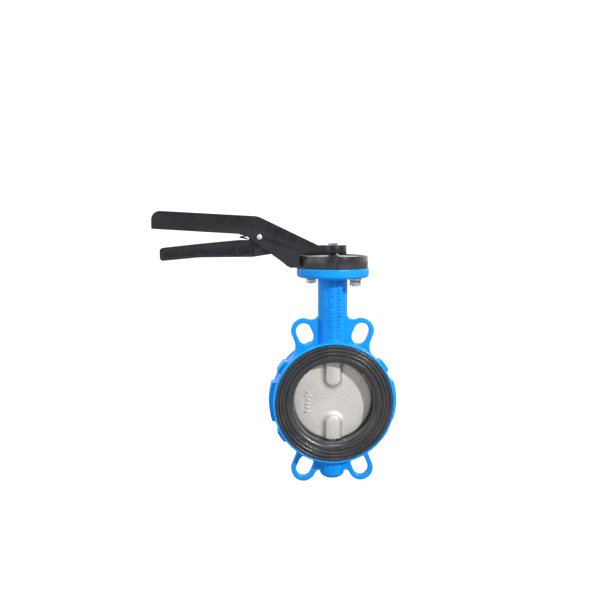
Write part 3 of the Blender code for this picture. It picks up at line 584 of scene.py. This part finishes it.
def make_bright(name, dark, light, rough_low, rough_high):
    steel = Finish(name, Metallic=1.0)
    patches = steel.range(steel.noise(180, 4), 0.35, 0.65, 0.0, 1.0)
    base = steel.mix(patches, dark, light)
    scuffs = steel.range(steel.noise(700, 5), 0.55, 0.75, 0.0, 0.5)
    steel.colour(steel.mix(scuffs, base, rgb(0.86, 0.85, 0.84)))
    steel.rough(steel.range(steel.noise(420, 4), 0.3, 0.7, rough_low, rough_high))
    steel.bump((steel.noise(1300, 3), 0.02 * MM))
    return steel.material


def make_bush_polymer():
    polymer = Finish("bush_polymer", Specular_IOR_Level=0.5)
    polymer.colour(polymer.mix(polymer.noise(90, 3), rgb(0.70, 0.68, 0.60), rgb(0.80, 0.78, 0.71)))
    polymer.rough(polymer.range(polymer.noise(400, 2), 0.3, 0.7, 0.40, 0.52))
    polymer.bump((polymer.noise(900, 2), 0.02 * MM))
    return polymer.material


# Body ---------------------------------------------------------------------------------------


def slot_centre(side, up):
    turn = math.radians(EAR_ANGLE)
    return Vector((side * math.sin(turn), up * math.cos(turn))) * BOLT_CIRCLE_R


def slot_outline(side, up):
    centre = slot_centre(side, up)
    lean = math.degrees(math.atan2(centre.y, centre.x))
    reach = centre.normalized() * (SLOT_L - SLOT_W) / 2
    radius = SLOT_W / 2
    return (arc(centre + reach, radius, lean - 90, lean + 90, 20)
            + arc(centre - reach, radius, lean + 90, lean + 270, 20))


def ear_outline(side, up):
    """The loop round a slot and the web that ties it to the ring and to the neck or boss."""
    turn = math.radians(EAR_ANGLE)
    outward = Vector((math.sin(turn), math.cos(turn)))
    across = Vector((math.cos(turn), -math.sin(turn)))
    loop = outward * (BOLT_CIRCLE_R + (SLOT_L - SLOT_W) / 2)
    root_r = RIM_R - EAR_ROOT
    if up > 0:
        web_z = loop.y + LOOP_R - WEB_DROP
        neck_x = math.sqrt(NECK_R ** 2 - (EAR_T / 2) ** 2) - GAP
        web_top = web_z + EAR_FILLET + PAST
        start = [(neck_x - EAR_ROOT, root_r), (neck_x - EAR_ROOT, web_top), (neck_x, web_top)]
        start += arc((neck_x + EAR_FILLET, web_z + EAR_FILLET), EAR_FILLET, 180, 270, 10)
        leave = 180 - math.degrees(math.asin((web_z - loop.y) / LOOP_R))
    else:
        boss_x = math.sqrt(BOSS_R ** 2 - (EAR_T / 2) ** 2) - GAP
        web_z = loop.y + LOWER_WEB_RISE
        notch_r = (loop.x - LOOP_R - boss_x) / 2
        web_top = web_z + notch_r
        start = [(boss_x - EAR_ROOT, root_r), (boss_x - EAR_ROOT, web_top), (boss_x, web_top)]
        start += arc((boss_x + notch_r, web_z + notch_r), notch_r, 180, 360, 10)[1:-1]
        leave = 180 - math.degrees(math.asin(notch_r / LOOP_R))
    flank = loop + across * LOOP_R
    foot = flank - outward * (flank.dot(outward) - math.sqrt(RIM_R ** 2 - LOOP_R ** 2))
    pad_end = math.radians(PAD_SPANS[1][1] - EAR_INTO_PAD)
    away = Vector((math.cos(pad_end), math.sin(pad_end))) * RIM_R
    foot_r = UPPER_EAR_FOOT_R if up > 0 else LOWER_EAR_FOOT_R
    tail = rounded([(flank.x, flank.y, 0), (foot.x, foot.y, foot_r), (away.x, away.y, 0)])
    tail += [tuple(away * EAR_TAIL)]
    points = start + arc(loop, LOOP_R, leave, -EAR_ANGLE, 32) + tail[1:]
    return [(side * x, up * z) for x, z in points]


def pad_outline(start, end):
    """Its ends slope down to the ring."""
    steps = max(4, round((end - start) / 2))
    top = arc((0, 0), PAD_R, start + PAD_SLOPE, end - PAD_SLOPE, steps)
    return top + arc((0, 0), RIM_R - CHANNEL_DEPTH, end, start, steps)


def casting_ring():
    channel_r = RIM_R - CHANNEL_DEPTH
    step_y = CAST_FACE_Y - RIM_W
    half = [(RIM_R, CAST_FACE_Y), (RIM_R, step_y), (channel_r, step_y - CHANNEL_DEPTH)]
    outer = half + [(r, -y) for r, y in reversed(half)]
    inner = SEAT_OUTER_R - RING_OVERLAP
    return turned(outer + [(inner, -CAST_FACE_Y), (inner, CAST_FACE_Y)], 160, "Y")


def casting_neck():
    edge = arc((FLANGE_R - FLANGE_EDGE_R, FLANGE_BOTTOM_Z + FLANGE_EDGE_R), FLANGE_EDGE_R, -90, 0, 6)
    fillet = arc((NECK_R + FLANGE_FILLET, FLANGE_BOTTOM_Z - FLANGE_FILLET), FLANGE_FILLET, 180, 90, 6)
    return turned([(0, NECK_FOOT_R), (NECK_R, NECK_FOOT_R)] + fillet + edge
                  + [(FLANGE_R, FLANGE_TOP_Z), (0, FLANGE_TOP_Z)], 120)


def casting_boss():
    top_z = -NECK_FOOT_R
    return turned([(0, BOSS_BOTTOM_Z), (BOSS_R - BOSS_CHAMFER, BOSS_BOTTOM_Z),
                   (BOSS_R, BOSS_BOTTOM_Z + BOSS_CHAMFER), (BOSS_R, top_z), (0, top_z)], 72)


def make_body(paint):
    corners = [(side, up) for side in (-1, 1) for up in (-1, 1)]
    ears = [prism(ear_outline(*c), -EAR_T / 2, EAR_T / 2) for c in corners]
    pads = [prism(pad_outline(*span), -PAD_HALF_W, PAD_HALF_W) for span in PAD_SPANS]
    body = new_object("body_casting", casting_ring())
    add(body, casting_neck(), casting_boss(), pads, ears)

    hollow = SEAT_OUTER_R + GAP
    recess = SEAT_FLANGE_R + GAP
    step = SEAT_STEP_Y - GAP
    past = FACE_Y + PAST
    seat_room = turned([(0, past), (recess, past), (recess, step), (hollow, step), (hollow, -step),
                        (recess, -step), (recess, -past), (0, -past)], 160, "Y")
    stem_room = turned([(0, BORE_R), (NECK_BORE_R, BORE_R), (NECK_BORE_R, COUNTERBORE_Z),
                        (COUNTERBORE_R, COUNTERBORE_Z), (COUNTERBORE_R, FLANGE_TOP_Z + PAST),
                        (0, FLANGE_TOP_Z + PAST)], 48)
    plug_room = rod(NECK_BORE_R, BOSS_BOTTOM_Z - PAST, -BORE_R)
    slots = [prism(slot_outline(*c), -PAD_HALF_W, PAD_HALF_W) for c in corners]
    holes = [moved(rod(BOLT_HOLE_R, FLANGE_BOTTOM_Z - PAST, FLANGE_TOP_Z + PAST, 32), x, y)
             for x, y in arc((0, 0), BOLT_ROW_R, 45, 315, 3)]
    cut(body, [stem_room, plug_room], slots, holes, seat_room)
    cast(body, CASTING_VOXEL, 5)
    finish_piece(body, "valve_body", paint, ["body"], sharp=80)
    make_marks("body_cast_marks", [raised_bar(*BOSS_BAR, -BOSS_R, BOSS_BAR_RISE)] + neck_bars(),
               "valve_body", paint)


def raised_bar(x, z, width, height, front_y, rise):
    """A bar that stands proud of a front face at front_y, and runs a little into it."""
    outline = [(x - width / 2, z - height / 2), (x + width / 2, z - height / 2),
               (x + width / 2, z + height / 2), (x - width / 2, z + height / 2)]
    return prism(outline, front_y - rise, front_y + BAR_SUNK)


def neck_bars():
    """Columns of plain bars, each in short pieces so that they follow the round neck."""
    bars = []
    step = NECK_BAR_L / NECK_BAR_PIECES
    for column, column_x in enumerate(NECK_BAR_COLUMNS):
        for row in range(NECK_BAR_ROWS):
            z = NECK_BAR_START + row * NECK_BAR_STEP
            share = NECK_BAR_LENGTHS[(row + 3 * column) % len(NECK_BAR_LENGTHS)]
            for k in range(NECK_BAR_PIECES):
                along = (k + 0.5) * step
                if along > NECK_BAR_L * share:
                    continue
                x = column_x - NECK_BAR_L / 2 + along
                front = -math.sqrt(NECK_R ** 2 - x ** 2)
                bars.append(raised_bar(x, z, NECK_BAR_PIECE_W, NECK_BAR_H, front, NECK_BAR_RISE))
    return bars


def make_marks(name, bars, body, finish):
    marks = new_object(name, joined(*bars))
    soften(marks, BAR_EDGE, 2)
    finish_piece(marks, body, finish)


# Seat ---------------------------------------------------------------------------------------


def seat_face(radius):
    """The height of the rubber's front face: three rounded grooves, then a lip into the bore."""
    height = FACE_Y
    for centre, half, depth in SEAT_GROOVES:
        away = abs(radius / MM - centre) / half
        if away < 1:
            height -= depth * MM * math.cos(away * math.pi / 2) ** 2
    if radius < SEAT_LIP_START:
        share = (SEAT_LIP_START - radius) / (SEAT_LIP_START - BORE_R)
        height -= (FACE_Y - SEAT_LIP_DEEP_Y) * (1 - math.sqrt(max(0.0, 1 - share ** 2)))
    return height


def make_seat(rubber):
    outer = SEAT_FLANGE_R - SEAT_EDGE_R
    count = 90
    shares = [1 - math.cos(i / count * math.pi / 2) for i in range(count + 1)]
    radii = [BORE_R + (outer - BORE_R) * share for share in shares]
    face = [(radius, seat_face(radius)) for radius in radii]
    half = face + arc((outer, FACE_Y - SEAT_EDGE_R), SEAT_EDGE_R, 90, 0, 4)[1:]
    half += [(SEAT_FLANGE_R, SEAT_STEP_Y), (SEAT_OUTER_R, SEAT_STEP_Y)]
    outline = half + [(r, -y) for r, y in reversed(half)]
    seat = new_object("rubber_seat", turned(outline, 192, "Y"))
    cut(seat, rod(STEM_HOLE_R, -SEAT_OUTER_R - PAST, SEAT_OUTER_R + PAST))
    finish_piece(seat, "valve_body", rubber, ["seat"], sharp=50)


# Disc ---------------------------------------------------------------------------------------


def disc_height(x, z):
    """Half the disc's thickness: a plate with a rounded rim, and crowned bosses on wide feet."""
    plate = DISC_T / 2
    rim = min(max(math.hypot(x, z) - (DISC_R - DISC_RIM_ROUND), 0.0), DISC_RIM_ROUND)
    plate -= DISC_RIM_ROUND - math.sqrt(DISC_RIM_ROUND ** 2 - rim ** 2)
    away = math.hypot(x, max(DISC_BOSS_END_Z + BOSS_FACE_R - abs(z), 0.0))
    if away < BOSS_FACE_R:
        return DISC_BOSS_R - BOSS_CROWN * (away / BOSS_FACE_R) ** 2
    out = (away - BOSS_FACE_R) / BOSS_FOOT_W
    if out >= 1:
        return plate
    return plate + (DISC_BOSS_R - BOSS_CROWN - plate) * (1 - out) ** BOSS_FOOT_POWER


def disc_blank():
    """A square slab with both bosses on each face, wider than the disc."""
    half = DISC_R + 2 * PAST
    count = 150
    places = [-half + 2 * half * i / count for i in range(count + 1)]
    bm = bmesh.new()
    sheets = [[[bm.verts.new((x, side * disc_height(x, z), z)) for x in places] for z in places]
              for side in (-1, 1)]
    for sheet in sheets:
        for one, two in zip(sheet, sheet[1:]):
            for k in range(count):
                bm.faces.new((one[k], one[k + 1], two[k + 1], two[k]))
    front, rear = sheets
    for k in range(count):
        for end in (0, count):
            bm.faces.new((front[end][k], front[end][k + 1], rear[end][k + 1], rear[end][k]))
            bm.faces.new((front[k][end], front[k + 1][end], rear[k + 1][end], rear[k][end]))
    return clean(bm)


def make_disc(metal):
    """The edge is part of a ball, so the disc clears the bore at every angle."""
    disc = new_object("disc_casting", disc_blank())
    ball = turned(arc((0, 0), DISC_R, -90, 90, 60), 180, "Y")
    combine(disc, "INTERSECT", [ball])
    floor_z = DISC_R - STEM_IN_DISC
    square_top = floor_z + DRIVE_L
    cut(disc, square(DRIVE_HALF + GAP, floor_z, square_top + PAST),
        [rod(STEM_HOLE_R, square_top, DISC_R + PAST), rod(STEM_HOLE_R, -DISC_R - PAST, -floor_z)])
    cast(disc, DISC_VOXEL, 3)
    finish_piece(disc, "stem_and_lever", metal, ["disc"], sharp=80)
    bars = [raised_bar(DISC_BAR_X, DISC_BAR_START + row * DISC_BAR_STEP, width, DISC_BAR_H,
                       -DISC_T / 2, DISC_BAR_RISE) for row, width in enumerate(DISC_BAR_WIDTHS)]
    make_marks("disc_cast_marks", bars, "stem_and_lever", metal)


# Notch plate and fasteners ------------------------------------------------------------------


def bolt_places():
    return arc((0, 0), BOLT_ROW_R, -45, 135, 1)


def notch_outline(angle):
    root = PLATE_R - SECTOR_STEP - NOTCH_DEPTH
    half = TOOTH_HALF_W + TOOTH_CLEAR
    turn = math.radians(angle)
    along = Vector((math.cos(turn), math.sin(turn)))
    side = Vector((-along.y, along.x)) * half
    far = PLATE_R + PAST
    ends = (along * root - side, along * far - side, along * far + side, along * root + side)
    return [tuple(p) for p in ends]


def make_notch_plate(enamel):
    stop = math.degrees((TOOTH_HALF_W + 2 * TOOTH_CLEAR) / PLATE_R)
    swept = arc((0, 0), PLATE_R - SECTOR_STEP, 180 - stop, 270 + stop, 48)
    rest = arc((0, 0), PLATE_R, 270 + stop + STEP_RAMP, 540 - stop - STEP_RAMP, 110)
    plate = new_object("notch_plate_casting", prism(swept + rest, PLATE_Z, PLATE_TOP_Z, "Z"))
    below, above = PLATE_Z - PAST, PLATE_TOP_Z + PAST
    recess = rod(PLATE_R - SECTOR_STEP - PLATE_RIM_W, PLATE_TOP_Z - PLATE_RECESS, above, 128)
    centre = rod(STEM_HOLE_R + GAP, below, above)
    floor_z = PLATE_TOP_Z - PLATE_RECESS - BOLT_POCKET_DEPTH
    wide = BOLT_HEAD_R + BOLT_POCKET_CLEAR
    pocket = [(0, below), (BOLT_HOLE_R, below), (BOLT_HOLE_R, floor_z), (wide, floor_z), (wide, above),
              (0, above)]
    pockets = [moved(turned(pocket, 32), x, y) for x, y in bolt_places()]
    rise = math.radians(LATCH_SWING) * (abs(PIVOT.x) - PLATE_R)
    notch_top = TOOTH_Z + TOOTH_H + rise + PAST
    notches = [prism(notch_outline(a), below, notch_top, "Z") for a in (180, 270)]
    cut(plate, recess, centre, pockets, notches)
    soften(plate, PLATE_EDGE)
    finish_piece(plate, "valve_body", enamel, ["notch_plate"])


def threaded(radius, low, high, steps=24):
    """A rod with a helical thread and closed ends."""
    rows = max(2, round((high - low) / THREAD_PITCH * THREAD_ROWS))
    bm = bmesh.new()
    grid = []
    for i in range(rows + 1):
        z = low + (high - low) * i / rows
        row = []
        for k in range(steps):
            phase = (z / THREAD_PITCH - k / steps) % 1.0
            r = radius - THREAD_DEPTH * (1 - abs(2 * phase - 1))
            turn = 2 * math.pi * k / steps
            row.append(bm.verts.new((r * math.cos(turn), r * math.sin(turn), z)))
        grid.append(row)
    for one, two in zip(grid, grid[1:]):
        for k in range(steps):
            n = (k + 1) % steps
            bm.faces.new((one[k], one[n], two[n], two[k]))
    bm.faces.new(list(reversed(grid[0])))
    bm.faces.new(grid[-1])
    return bm


def make_bolts(zinc):
    for place, (x, y) in zip(("front", "rear"), bolt_places()):
        node = "plate_bolt_" + place
        low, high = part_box(node)
        head_z = PLATE_TOP_Z - PLATE_RECESS - BOLT_POCKET_DEPTH + GAP
        outline = chamfered(BOLT_HEAD_R, head_z, high.z, BOLT_HEAD_CHAMFER)
        screw = new_object("cap_screw_" + place, turned(outline, 48))
        cut(screw, hexagon(BOLT_SOCKET_R, head_z + BOLT_SOCKET_FLOOR, high.z + PAST))
        put_beside(screw, threaded(BOLT_R, low.z + NUT_TRIM, head_z + SHANK_SUNK))
        screw.location = (x, y, 0)
        finish_piece(screw, "valve_body", zinc, [node], sharp=30)


def make_nuts(zinc):
    """A hexagon whose corners are turned back to a cone at both ends."""
    for place, (x, y) in zip(("front", "rear"), bolt_places()):
        low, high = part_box("nut_" + place)
        low.z += NUT_TRIM
        nut = new_object("hex_nut_" + place, hexagon(NUT_R, low.z, high.z))
        trim = chamfered(NUT_R + 0.01 * MM, low.z, high.z, NUT_CHAMFER)
        combine(nut, "INTERSECT", [turned(trim, 64)])
        cut(nut, rod(BOLT_R + GAP, low.z - PAST, high.z + PAST, 32))
        nut.location = (x, y, 0)
        finish_piece(nut, "valve_body", zinc, ["nut_" + place], sharp=30)


def make_washers(zinc):
    for place, (x, y) in zip(("front", "rear"), bolt_places()):
        low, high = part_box("flat_washer_" + place)
        outline = chamfered((high.x - low.x) / 2, low.z, high.z, WASHER_CHAMFER, BOLT_R + GAP)
        flat = new_object("plain_washer_" + place, turned(outline, 48))
        flat.location = (x, y, 0)
        finish_piece(flat, "valve_body", zinc, ["flat_washer_" + place], sharp=30)


# Lever --------------------------------------------------------------------------------------


def mitre(before, here, after, distance):
    """The corner that lies a wall's thickness below a corner of the lever's top line."""
    one = (here - before).normalized()
    two = (after - here).normalized()
    middle = Vector((one.y + two.y, -one.x - two.x)).normalized()
    return here + middle * distance / middle.dot(Vector((one.y, -one.x)))


def lever_outline():
    return rounded([
        (*LEVER_TIP, LEVER_TIP_ROUND), (*LEVER_BEND, LEVER_BEND_ROUND),
        (ARM_END_X, HUB_TOP_Z, ARM_END_ROUND), (0.0, HUB_TOP_Z, 0), (0.0, HUB_Z, 0),
        (HEEL_X, HUB_Z, 0), (HEEL_X, HEEL_Z, 0),
        (-PLATE_R - HEEL_L, HEEL_Z, HEEL_ROUND), (*LEVER_ELBOW, LEVER_ELBOW_ROUND),
        (LEVER_TIP.x, LEVER_TIP.y - LEVER_TIP_DEPTH, LEVER_LIP_ROUND),
    ])


def channel_outline():
    """The hollow under the lever's roof, open below."""
    arm_end = Vector((ARM_END_X, HUB_TOP_Z))
    first = LEVER_TIP + Vector((LEVER_WALL, -LEVER_WALL))
    inner_bend = mitre(LEVER_TIP, LEVER_BEND, arm_end, LEVER_WALL)
    inner_end = mitre(LEVER_BEND, arm_end, arm_end * 2 - LEVER_BEND, LEVER_WALL)
    return rounded([
        (*first, LEVER_TIP_ROUND - LEVER_WALL), (*inner_bend, LEVER_BEND_ROUND), (*inner_end, 0),
        (inner_end.x, CHANNEL_BOTTOM_Z, 0), (first.x, CHANNEL_BOTTOM_Z, 0),
    ])


def make_lever(enamel):
    lever = new_object("hand_lever", prism(lever_outline(), -LEVER_HALF_W, LEVER_HALF_W))
    inside = LEVER_HALF_W - LEVER_WALL
    cut(lever, prism(channel_outline(), -inside, inside),
        rod(PLATE_R + HEEL_GAP, PLATE_Z - PAST, HUB_Z, 128))
    add(lever, rod(HUB_R, HUB_Z, HUB_TOP_Z + HUB_PROUD, 96))
    hub_middle = (HUB_Z + HUB_TOP_Z) / 2
    cut(lever, square(DRIVE_HALF + GAP, HUB_Z - PAST, HUB_TOP_Z + HUB_PROUD + PAST),
        moved(rod(PIN_R + GAP, -2 * LEVER_HALF_W, 2 * LEVER_HALF_W, 32, "Y"), PIVOT.x, 0, PIVOT.y),
        moved(rod(SET_SCREW_R + GAP, DRIVE_HALF - PAST, 2 * HUB_R, 32, "Y"), 0, 0, hub_middle))
    soften(lever, LEVER_EDGE)
    finish_piece(lever, "stem_and_lever", enamel, ["lever"])


def make_pivot_pin(steel):
    end = LEVER_HALF_W + PIN_CLIP_END
    head_y = -LEVER_HALF_W - PIN_PROUD
    clip_y = LEVER_HALF_W + GAP
    neck_r = PIN_R - PIN_GROOVE
    dome = [(0, head_y)] + arc((0, head_y + PIN_DOME_R), PIN_DOME_R, 270, 312, 6)[1:]
    outline = dome + [
        (PIN_R, head_y + PIN_HEAD_T), (PIN_R, clip_y - GAP / 2), (neck_r, clip_y - GAP / 2),
        (neck_r, clip_y + CLIP_T + GAP), (PIN_R, clip_y + CLIP_T + GAP), (PIN_R, end - PIN_CHAMFER),
        (PIN_R - PIN_CHAMFER, end), (0, end)]
    pin = new_object("trigger_pivot_pin", turned(outline, 40, "Y"))
    pin.location = (PIVOT.x, 0, PIVOT.y)
    finish_piece(pin, "stem_and_lever", steel, ["pivot_pin"], sharp=35)


# Trigger ------------------------------------------------------------------------------------


def near(base, x, z, radius=0.0):
    """A corner for rounded(), so many mm from a base point."""
    return (base.x + x * MM, base.y + z * MM, radius * MM)


def grip_outline():
    """The finger grip and the eye round the pin."""
    top, bottom = (TRIGGER_TIP + Vector((0, side * TRIGGER_DEPTH / 2)) for side in (1, -1))
    spring_seat = Vector((SPRING_X, SEAT_Z))
    return rounded([
        near(top, 0, 0, 4), near(spring_seat, -54.7, -4.6, 80), near(spring_seat, -6, 0, 20),
        near(spring_seat, 6, 0, 3), near(PIVOT, -8, 8, 4), near(PIVOT, 7, 8, 4),
        near(PIVOT, 16, -20.5, 2), near(PIVOT, -8, -24.2, 20), near(TRIGGER_TIP, 48, -3.4, 120),
        near(bottom, 0, 0, 4),
    ])


def arm_outline():
    """From the eye, inside the lever, down to the tooth's block just outside the plate."""
    block = Vector((-PLATE_R - TOOTH_BLOCK_GAP, TOOTH_Z))
    block_top = block + Vector((0, TOOTH_H))
    return rounded([
        near(PIVOT, -3, 3), near(PIVOT, 5, 4, 4), near(block, -9, 13, 6), near(block_top, 0, 2, 2),
        near(block, 0, -1, 1), near(block, -9, -1.7, 2), near(PIVOT, 14, -19, 3), near(PIVOT, 0, -19),
    ])


def grip_edge_z(outline, x, top):
    """The grip's upper or lower edge at x."""
    heights = []
    for (x0, z0), (x1, z1) in zip(outline, outline[1:] + outline[:1]):
        if min(x0, x1) <= x <= max(x0, x1) and abs(x1 - x0) > 1e-9:
            heights.append(z0 + (z1 - z0) * (x - x0) / (x1 - x0))
    return max(heights) if top else min(heights)


def panel_outline(start, end):
    """A recessed panel between two ribs, a border's width inside the grip's edges."""
    outline = grip_outline()
    count = 10
    xs = [start + (end - start) * i / count for i in range(count + 1)]
    lower = [(x, grip_edge_z(outline, x, False) + GRIP_BORDER) for x in xs]
    upper = [(x, grip_edge_z(outline, x, True) - GRIP_BORDER) for x in reversed(xs)]
    return lower + upper


def make_trigger(enamel):
    trigger = new_object("finger_trigger", prism(grip_outline(), -TRIGGER_HALF_W, TRIGGER_HALF_W))
    tip_x = -(PLATE_R - SECTOR_STEP) - TOOTH_CLEAR
    tooth = rounded([(tip_x, TOOTH_Z, TOOTH_ROUND), (tip_x, TOOTH_Z + TOOTH_H, TOOTH_ROUND),
                     (tip_x - TOOTH_L, TOOTH_Z + TOOTH_H + TOOTH_BACK_RISE, 0),
                     (tip_x - TOOTH_L, TOOTH_Z, 0)], 3)
    add(trigger, prism(arm_outline(), -ARM_HALF_W, ARM_HALF_W),
        prism(tooth, -TOOTH_HALF_W, TOOTH_HALF_W))
    pin_hole = rod(PIN_R + GAP, -2 * TRIGGER_HALF_W, 2 * TRIGGER_HALF_W, 32, "Y")
    cut(trigger, moved(pin_hole, PIVOT.x, 0, PIVOT.y))
    starts = [TRIGGER_TIP.x + PANEL_START] + [x + RIB_HALF_W for x in RIB_PLACES]
    ends = [x - RIB_HALF_W for x in RIB_PLACES] + [PIVOT.x - PANEL_END]
    for side in (-1, 1):
        near, far = sorted((side * (TRIGGER_HALF_W - PANEL_DEPTH), side * (TRIGGER_HALF_W + PAST)))
        cut(trigger, [prism(panel_outline(a, b), near, far) for a, b in zip(starts, ends)])
    soften(trigger, TRIGGER_EDGE)
    finish_piece(trigger, "trigger", enamel, ["trigger"])


def make_trigger_spring(steel):
    """A round-wire coil in the place of the model's trigger spring, under the lever's roof."""
    low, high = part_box("trigger_spring")
    per_turn = 28
    sides = 10
    count = SPRING_TURNS * per_turn
    first, last = low.z + SPRING_WIRE_R, high.z - SPRING_WIRE_R
    bm = bmesh.new()
    rings = []
    for i in range(count + 1):
        turn = 2 * math.pi * i / per_turn
        z = first + (last - first) * i / count
        out = Vector((math.cos(turn), math.sin(turn), 0))
        ring = []
        for k in range(sides):
            lean = 2 * math.pi * k / sides
            point = out * (SPRING_R + SPRING_WIRE_R * math.cos(lean))
            ring.append(bm.verts.new((SPRING_X + point.x, point.y, z + SPRING_WIRE_R * math.sin(lean))))
        rings.append(ring)
    for one, two in zip(rings, rings[1:]):
        for k in range(sides):
            n = (k + 1) % sides
            bm.faces.new((one[k], one[n], two[n], two[k]))
    bm.faces.new(rings[0])
    bm.faces.new(list(reversed(rings[-1])))
    spring = new_object("coil_spring", clean(bm))
    finish_piece(spring, "stem_and_lever", steel, ["trigger_spring"])
    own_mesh(spring)


# Camera, floor and light --------------------------------------------------------------------


def make_camera():
    data = bpy.data.cameras.new("camera")
    data.sensor_width = 36.0
    data.lens = CAMERA_LENS
    camera = bpy.data.objects.new("camera", data)
    camera.location = CAMERA_AT
    camera.rotation_euler = (math.radians(90 - CAMERA_PITCH), 0, math.radians(-CAMERA_YAW))
    bpy.context.scene.collection.objects.link(camera)
    bpy.context.scene.camera = camera


def make_floor():
    """White to the camera, with a grey bounce, as a lit sweep is."""
    bm = bmesh.new()
    bmesh.ops.create_grid(bm, x_segments=1, y_segments=1, size=6.0)
    floor = new_object("floor", bm)
    floor.location = (0, 0, cad_box[0].z - FLOOR_DROP)
    pale = Finish("pale_floor", Roughness=1.0, Specular_IOR_Level=0.0)
    pale.colour(pale.mix(pale.noise(2, 2), rgb(0.34, 0.34, 0.34), rgb(0.36, 0.36, 0.36)))
    pale.shader.inputs["Emission Color"].default_value = rgb(1, 1, 1)
    seen = pale.node("LightPath").outputs["Is Camera Ray"]
    pale.put(pale.shader.inputs["Emission Strength"], pale.range(seen, 0.0, 1.0, 0.05, 0.86))
    floor.data.materials.append(pale.material)


def softbox(name, place, size, power):
    """A round light that faces the disc's middle."""
    light = bpy.data.lights.new(name, "AREA")
    light.shape = "DISK"
    light.size = size
    light.energy = power
    obj = bpy.data.objects.new(name, light)
    obj.location = place
    obj.rotation_euler = Vector(place).to_track_quat("Z", "Y").to_euler()
    bpy.context.scene.collection.objects.link(obj)


def make_world():
    """A white sweep behind the object and to its left, and a darker room in front."""
    world = bpy.data.worlds.new("studio")
    world.use_nodes = True
    tree = world.node_tree
    axes = tree.nodes.new("ShaderNodeSeparateXYZ")
    tree.links.new(tree.nodes.new("ShaderNodeTexCoord").outputs["Generated"], axes.inputs[0])

    def ramp(axis, start, end, low, high):
        node = tree.nodes.new("ShaderNodeMapRange")
        tree.links.new(axes.outputs[axis], node.inputs["Value"])
        limits = {"From Min": start, "From Max": end, "To Min": low, "To Max": high}
        for key, value in limits.items():
            node.inputs[key].default_value = value
        return node.outputs["Result"]

    def together(operation, one, two):
        node = tree.nodes.new("ShaderNodeMath")
        node.operation = operation
        tree.links.new(one, node.inputs[0])
        tree.links.new(two, node.inputs[1])
        return node.outputs[0]

    lit = together("ADD", ramp("Y", -0.5, 0.6, ROOM_FRONT, ROOM_BACK),
                   ramp("X", -0.3, -0.85, 0.0, ROOM_LEFT))
    seen = tree.nodes.new("ShaderNodeLightPath").outputs["Is Camera Ray"]
    room = tree.nodes["Background"]
    room.inputs["Color"].default_value = rgb(1, 1, 1)
    tree.links.new(together("MAXIMUM", lit, seen), room.inputs["Strength"])
    bpy.context.scene.world = world


def make_light():
    make_world()
    bpy.context.scene.view_settings.view_transform = "Standard"
    softbox("key_light", KEY_PLACE, KEY_SIZE, KEY_POWER)
    softbox("side_light", SIDE_PLACE, SIDE_SIZE, SIDE_POWER)
    softbox("top_light", TOP_PLACE, TOP_SIZE, TOP_POWER)


def paint_carried(finish, *names):
    """The model's own pieces that are kept as they are, with a better material."""
    for name in names:
        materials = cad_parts[name].data.materials
        materials.clear()
        materials.append(finish)


def main():
    make_camera()
    make_floor()
    make_light()
    paint = make_body_paint()
    rubber = make_rubber()
    metal = make_disc_metal()
    plate_enamel = make_enamel("black_plate_enamel", rgb(0.012, 0.012, 0.015),
                               rgb(0.020, 0.019, 0.021), 0.18, 0.30, grain=320, coat=0.5)
    lever_enamel = make_enamel("black_lever_enamel", rgb(0.008, 0.008, 0.012),
                               rgb(0.014, 0.014, 0.019), 0.19, 0.33, grain=380, coat=0.1)
    zinc = make_bright("zinc_plate", rgb(0.62, 0.61, 0.60), rgb(0.74, 0.73, 0.72), 0.22, 0.38)
    stem_steel = make_bright("turned_stem_steel", rgb(0.52, 0.52, 0.53), rgb(0.62, 0.62, 0.63),
                             0.24, 0.40)
    pin_steel = make_bright("bright_pin_steel", rgb(0.80, 0.80, 0.82), rgb(0.88, 0.88, 0.90),
                            0.36, 0.48)
    spring_steel = make_bright("spring_wire_steel", rgb(0.10, 0.10, 0.105), rgb(0.20, 0.20, 0.205),
                               0.24, 0.40)
    polymer = make_bush_polymer()

    make_body(paint)
    make_seat(rubber)
    make_disc(metal)
    make_notch_plate(plate_enamel)
    make_bolts(zinc)
    make_nuts(zinc)
    make_washers(zinc)
    make_lever(lever_enamel)
    make_pivot_pin(pin_steel)
    make_trigger(lever_enamel)
    make_trigger_spring(spring_steel)

    paint_carried(stem_steel, "upper_stem", "lower_stem")
    paint_carried(spring_steel, "stem_circlip", "pin_clip", "spring_washer_front", "spring_washer_rear")
    paint_carried(zinc, "thrust_washer", "bottom_plug", "lever_set_screw")
    paint_carried(polymer, "neck_bush", "upper_bush", "bottom_bush")
    paint_carried(rubber, "neck_stem_seal", "upper_stem_seal", "plug_seal")


main()
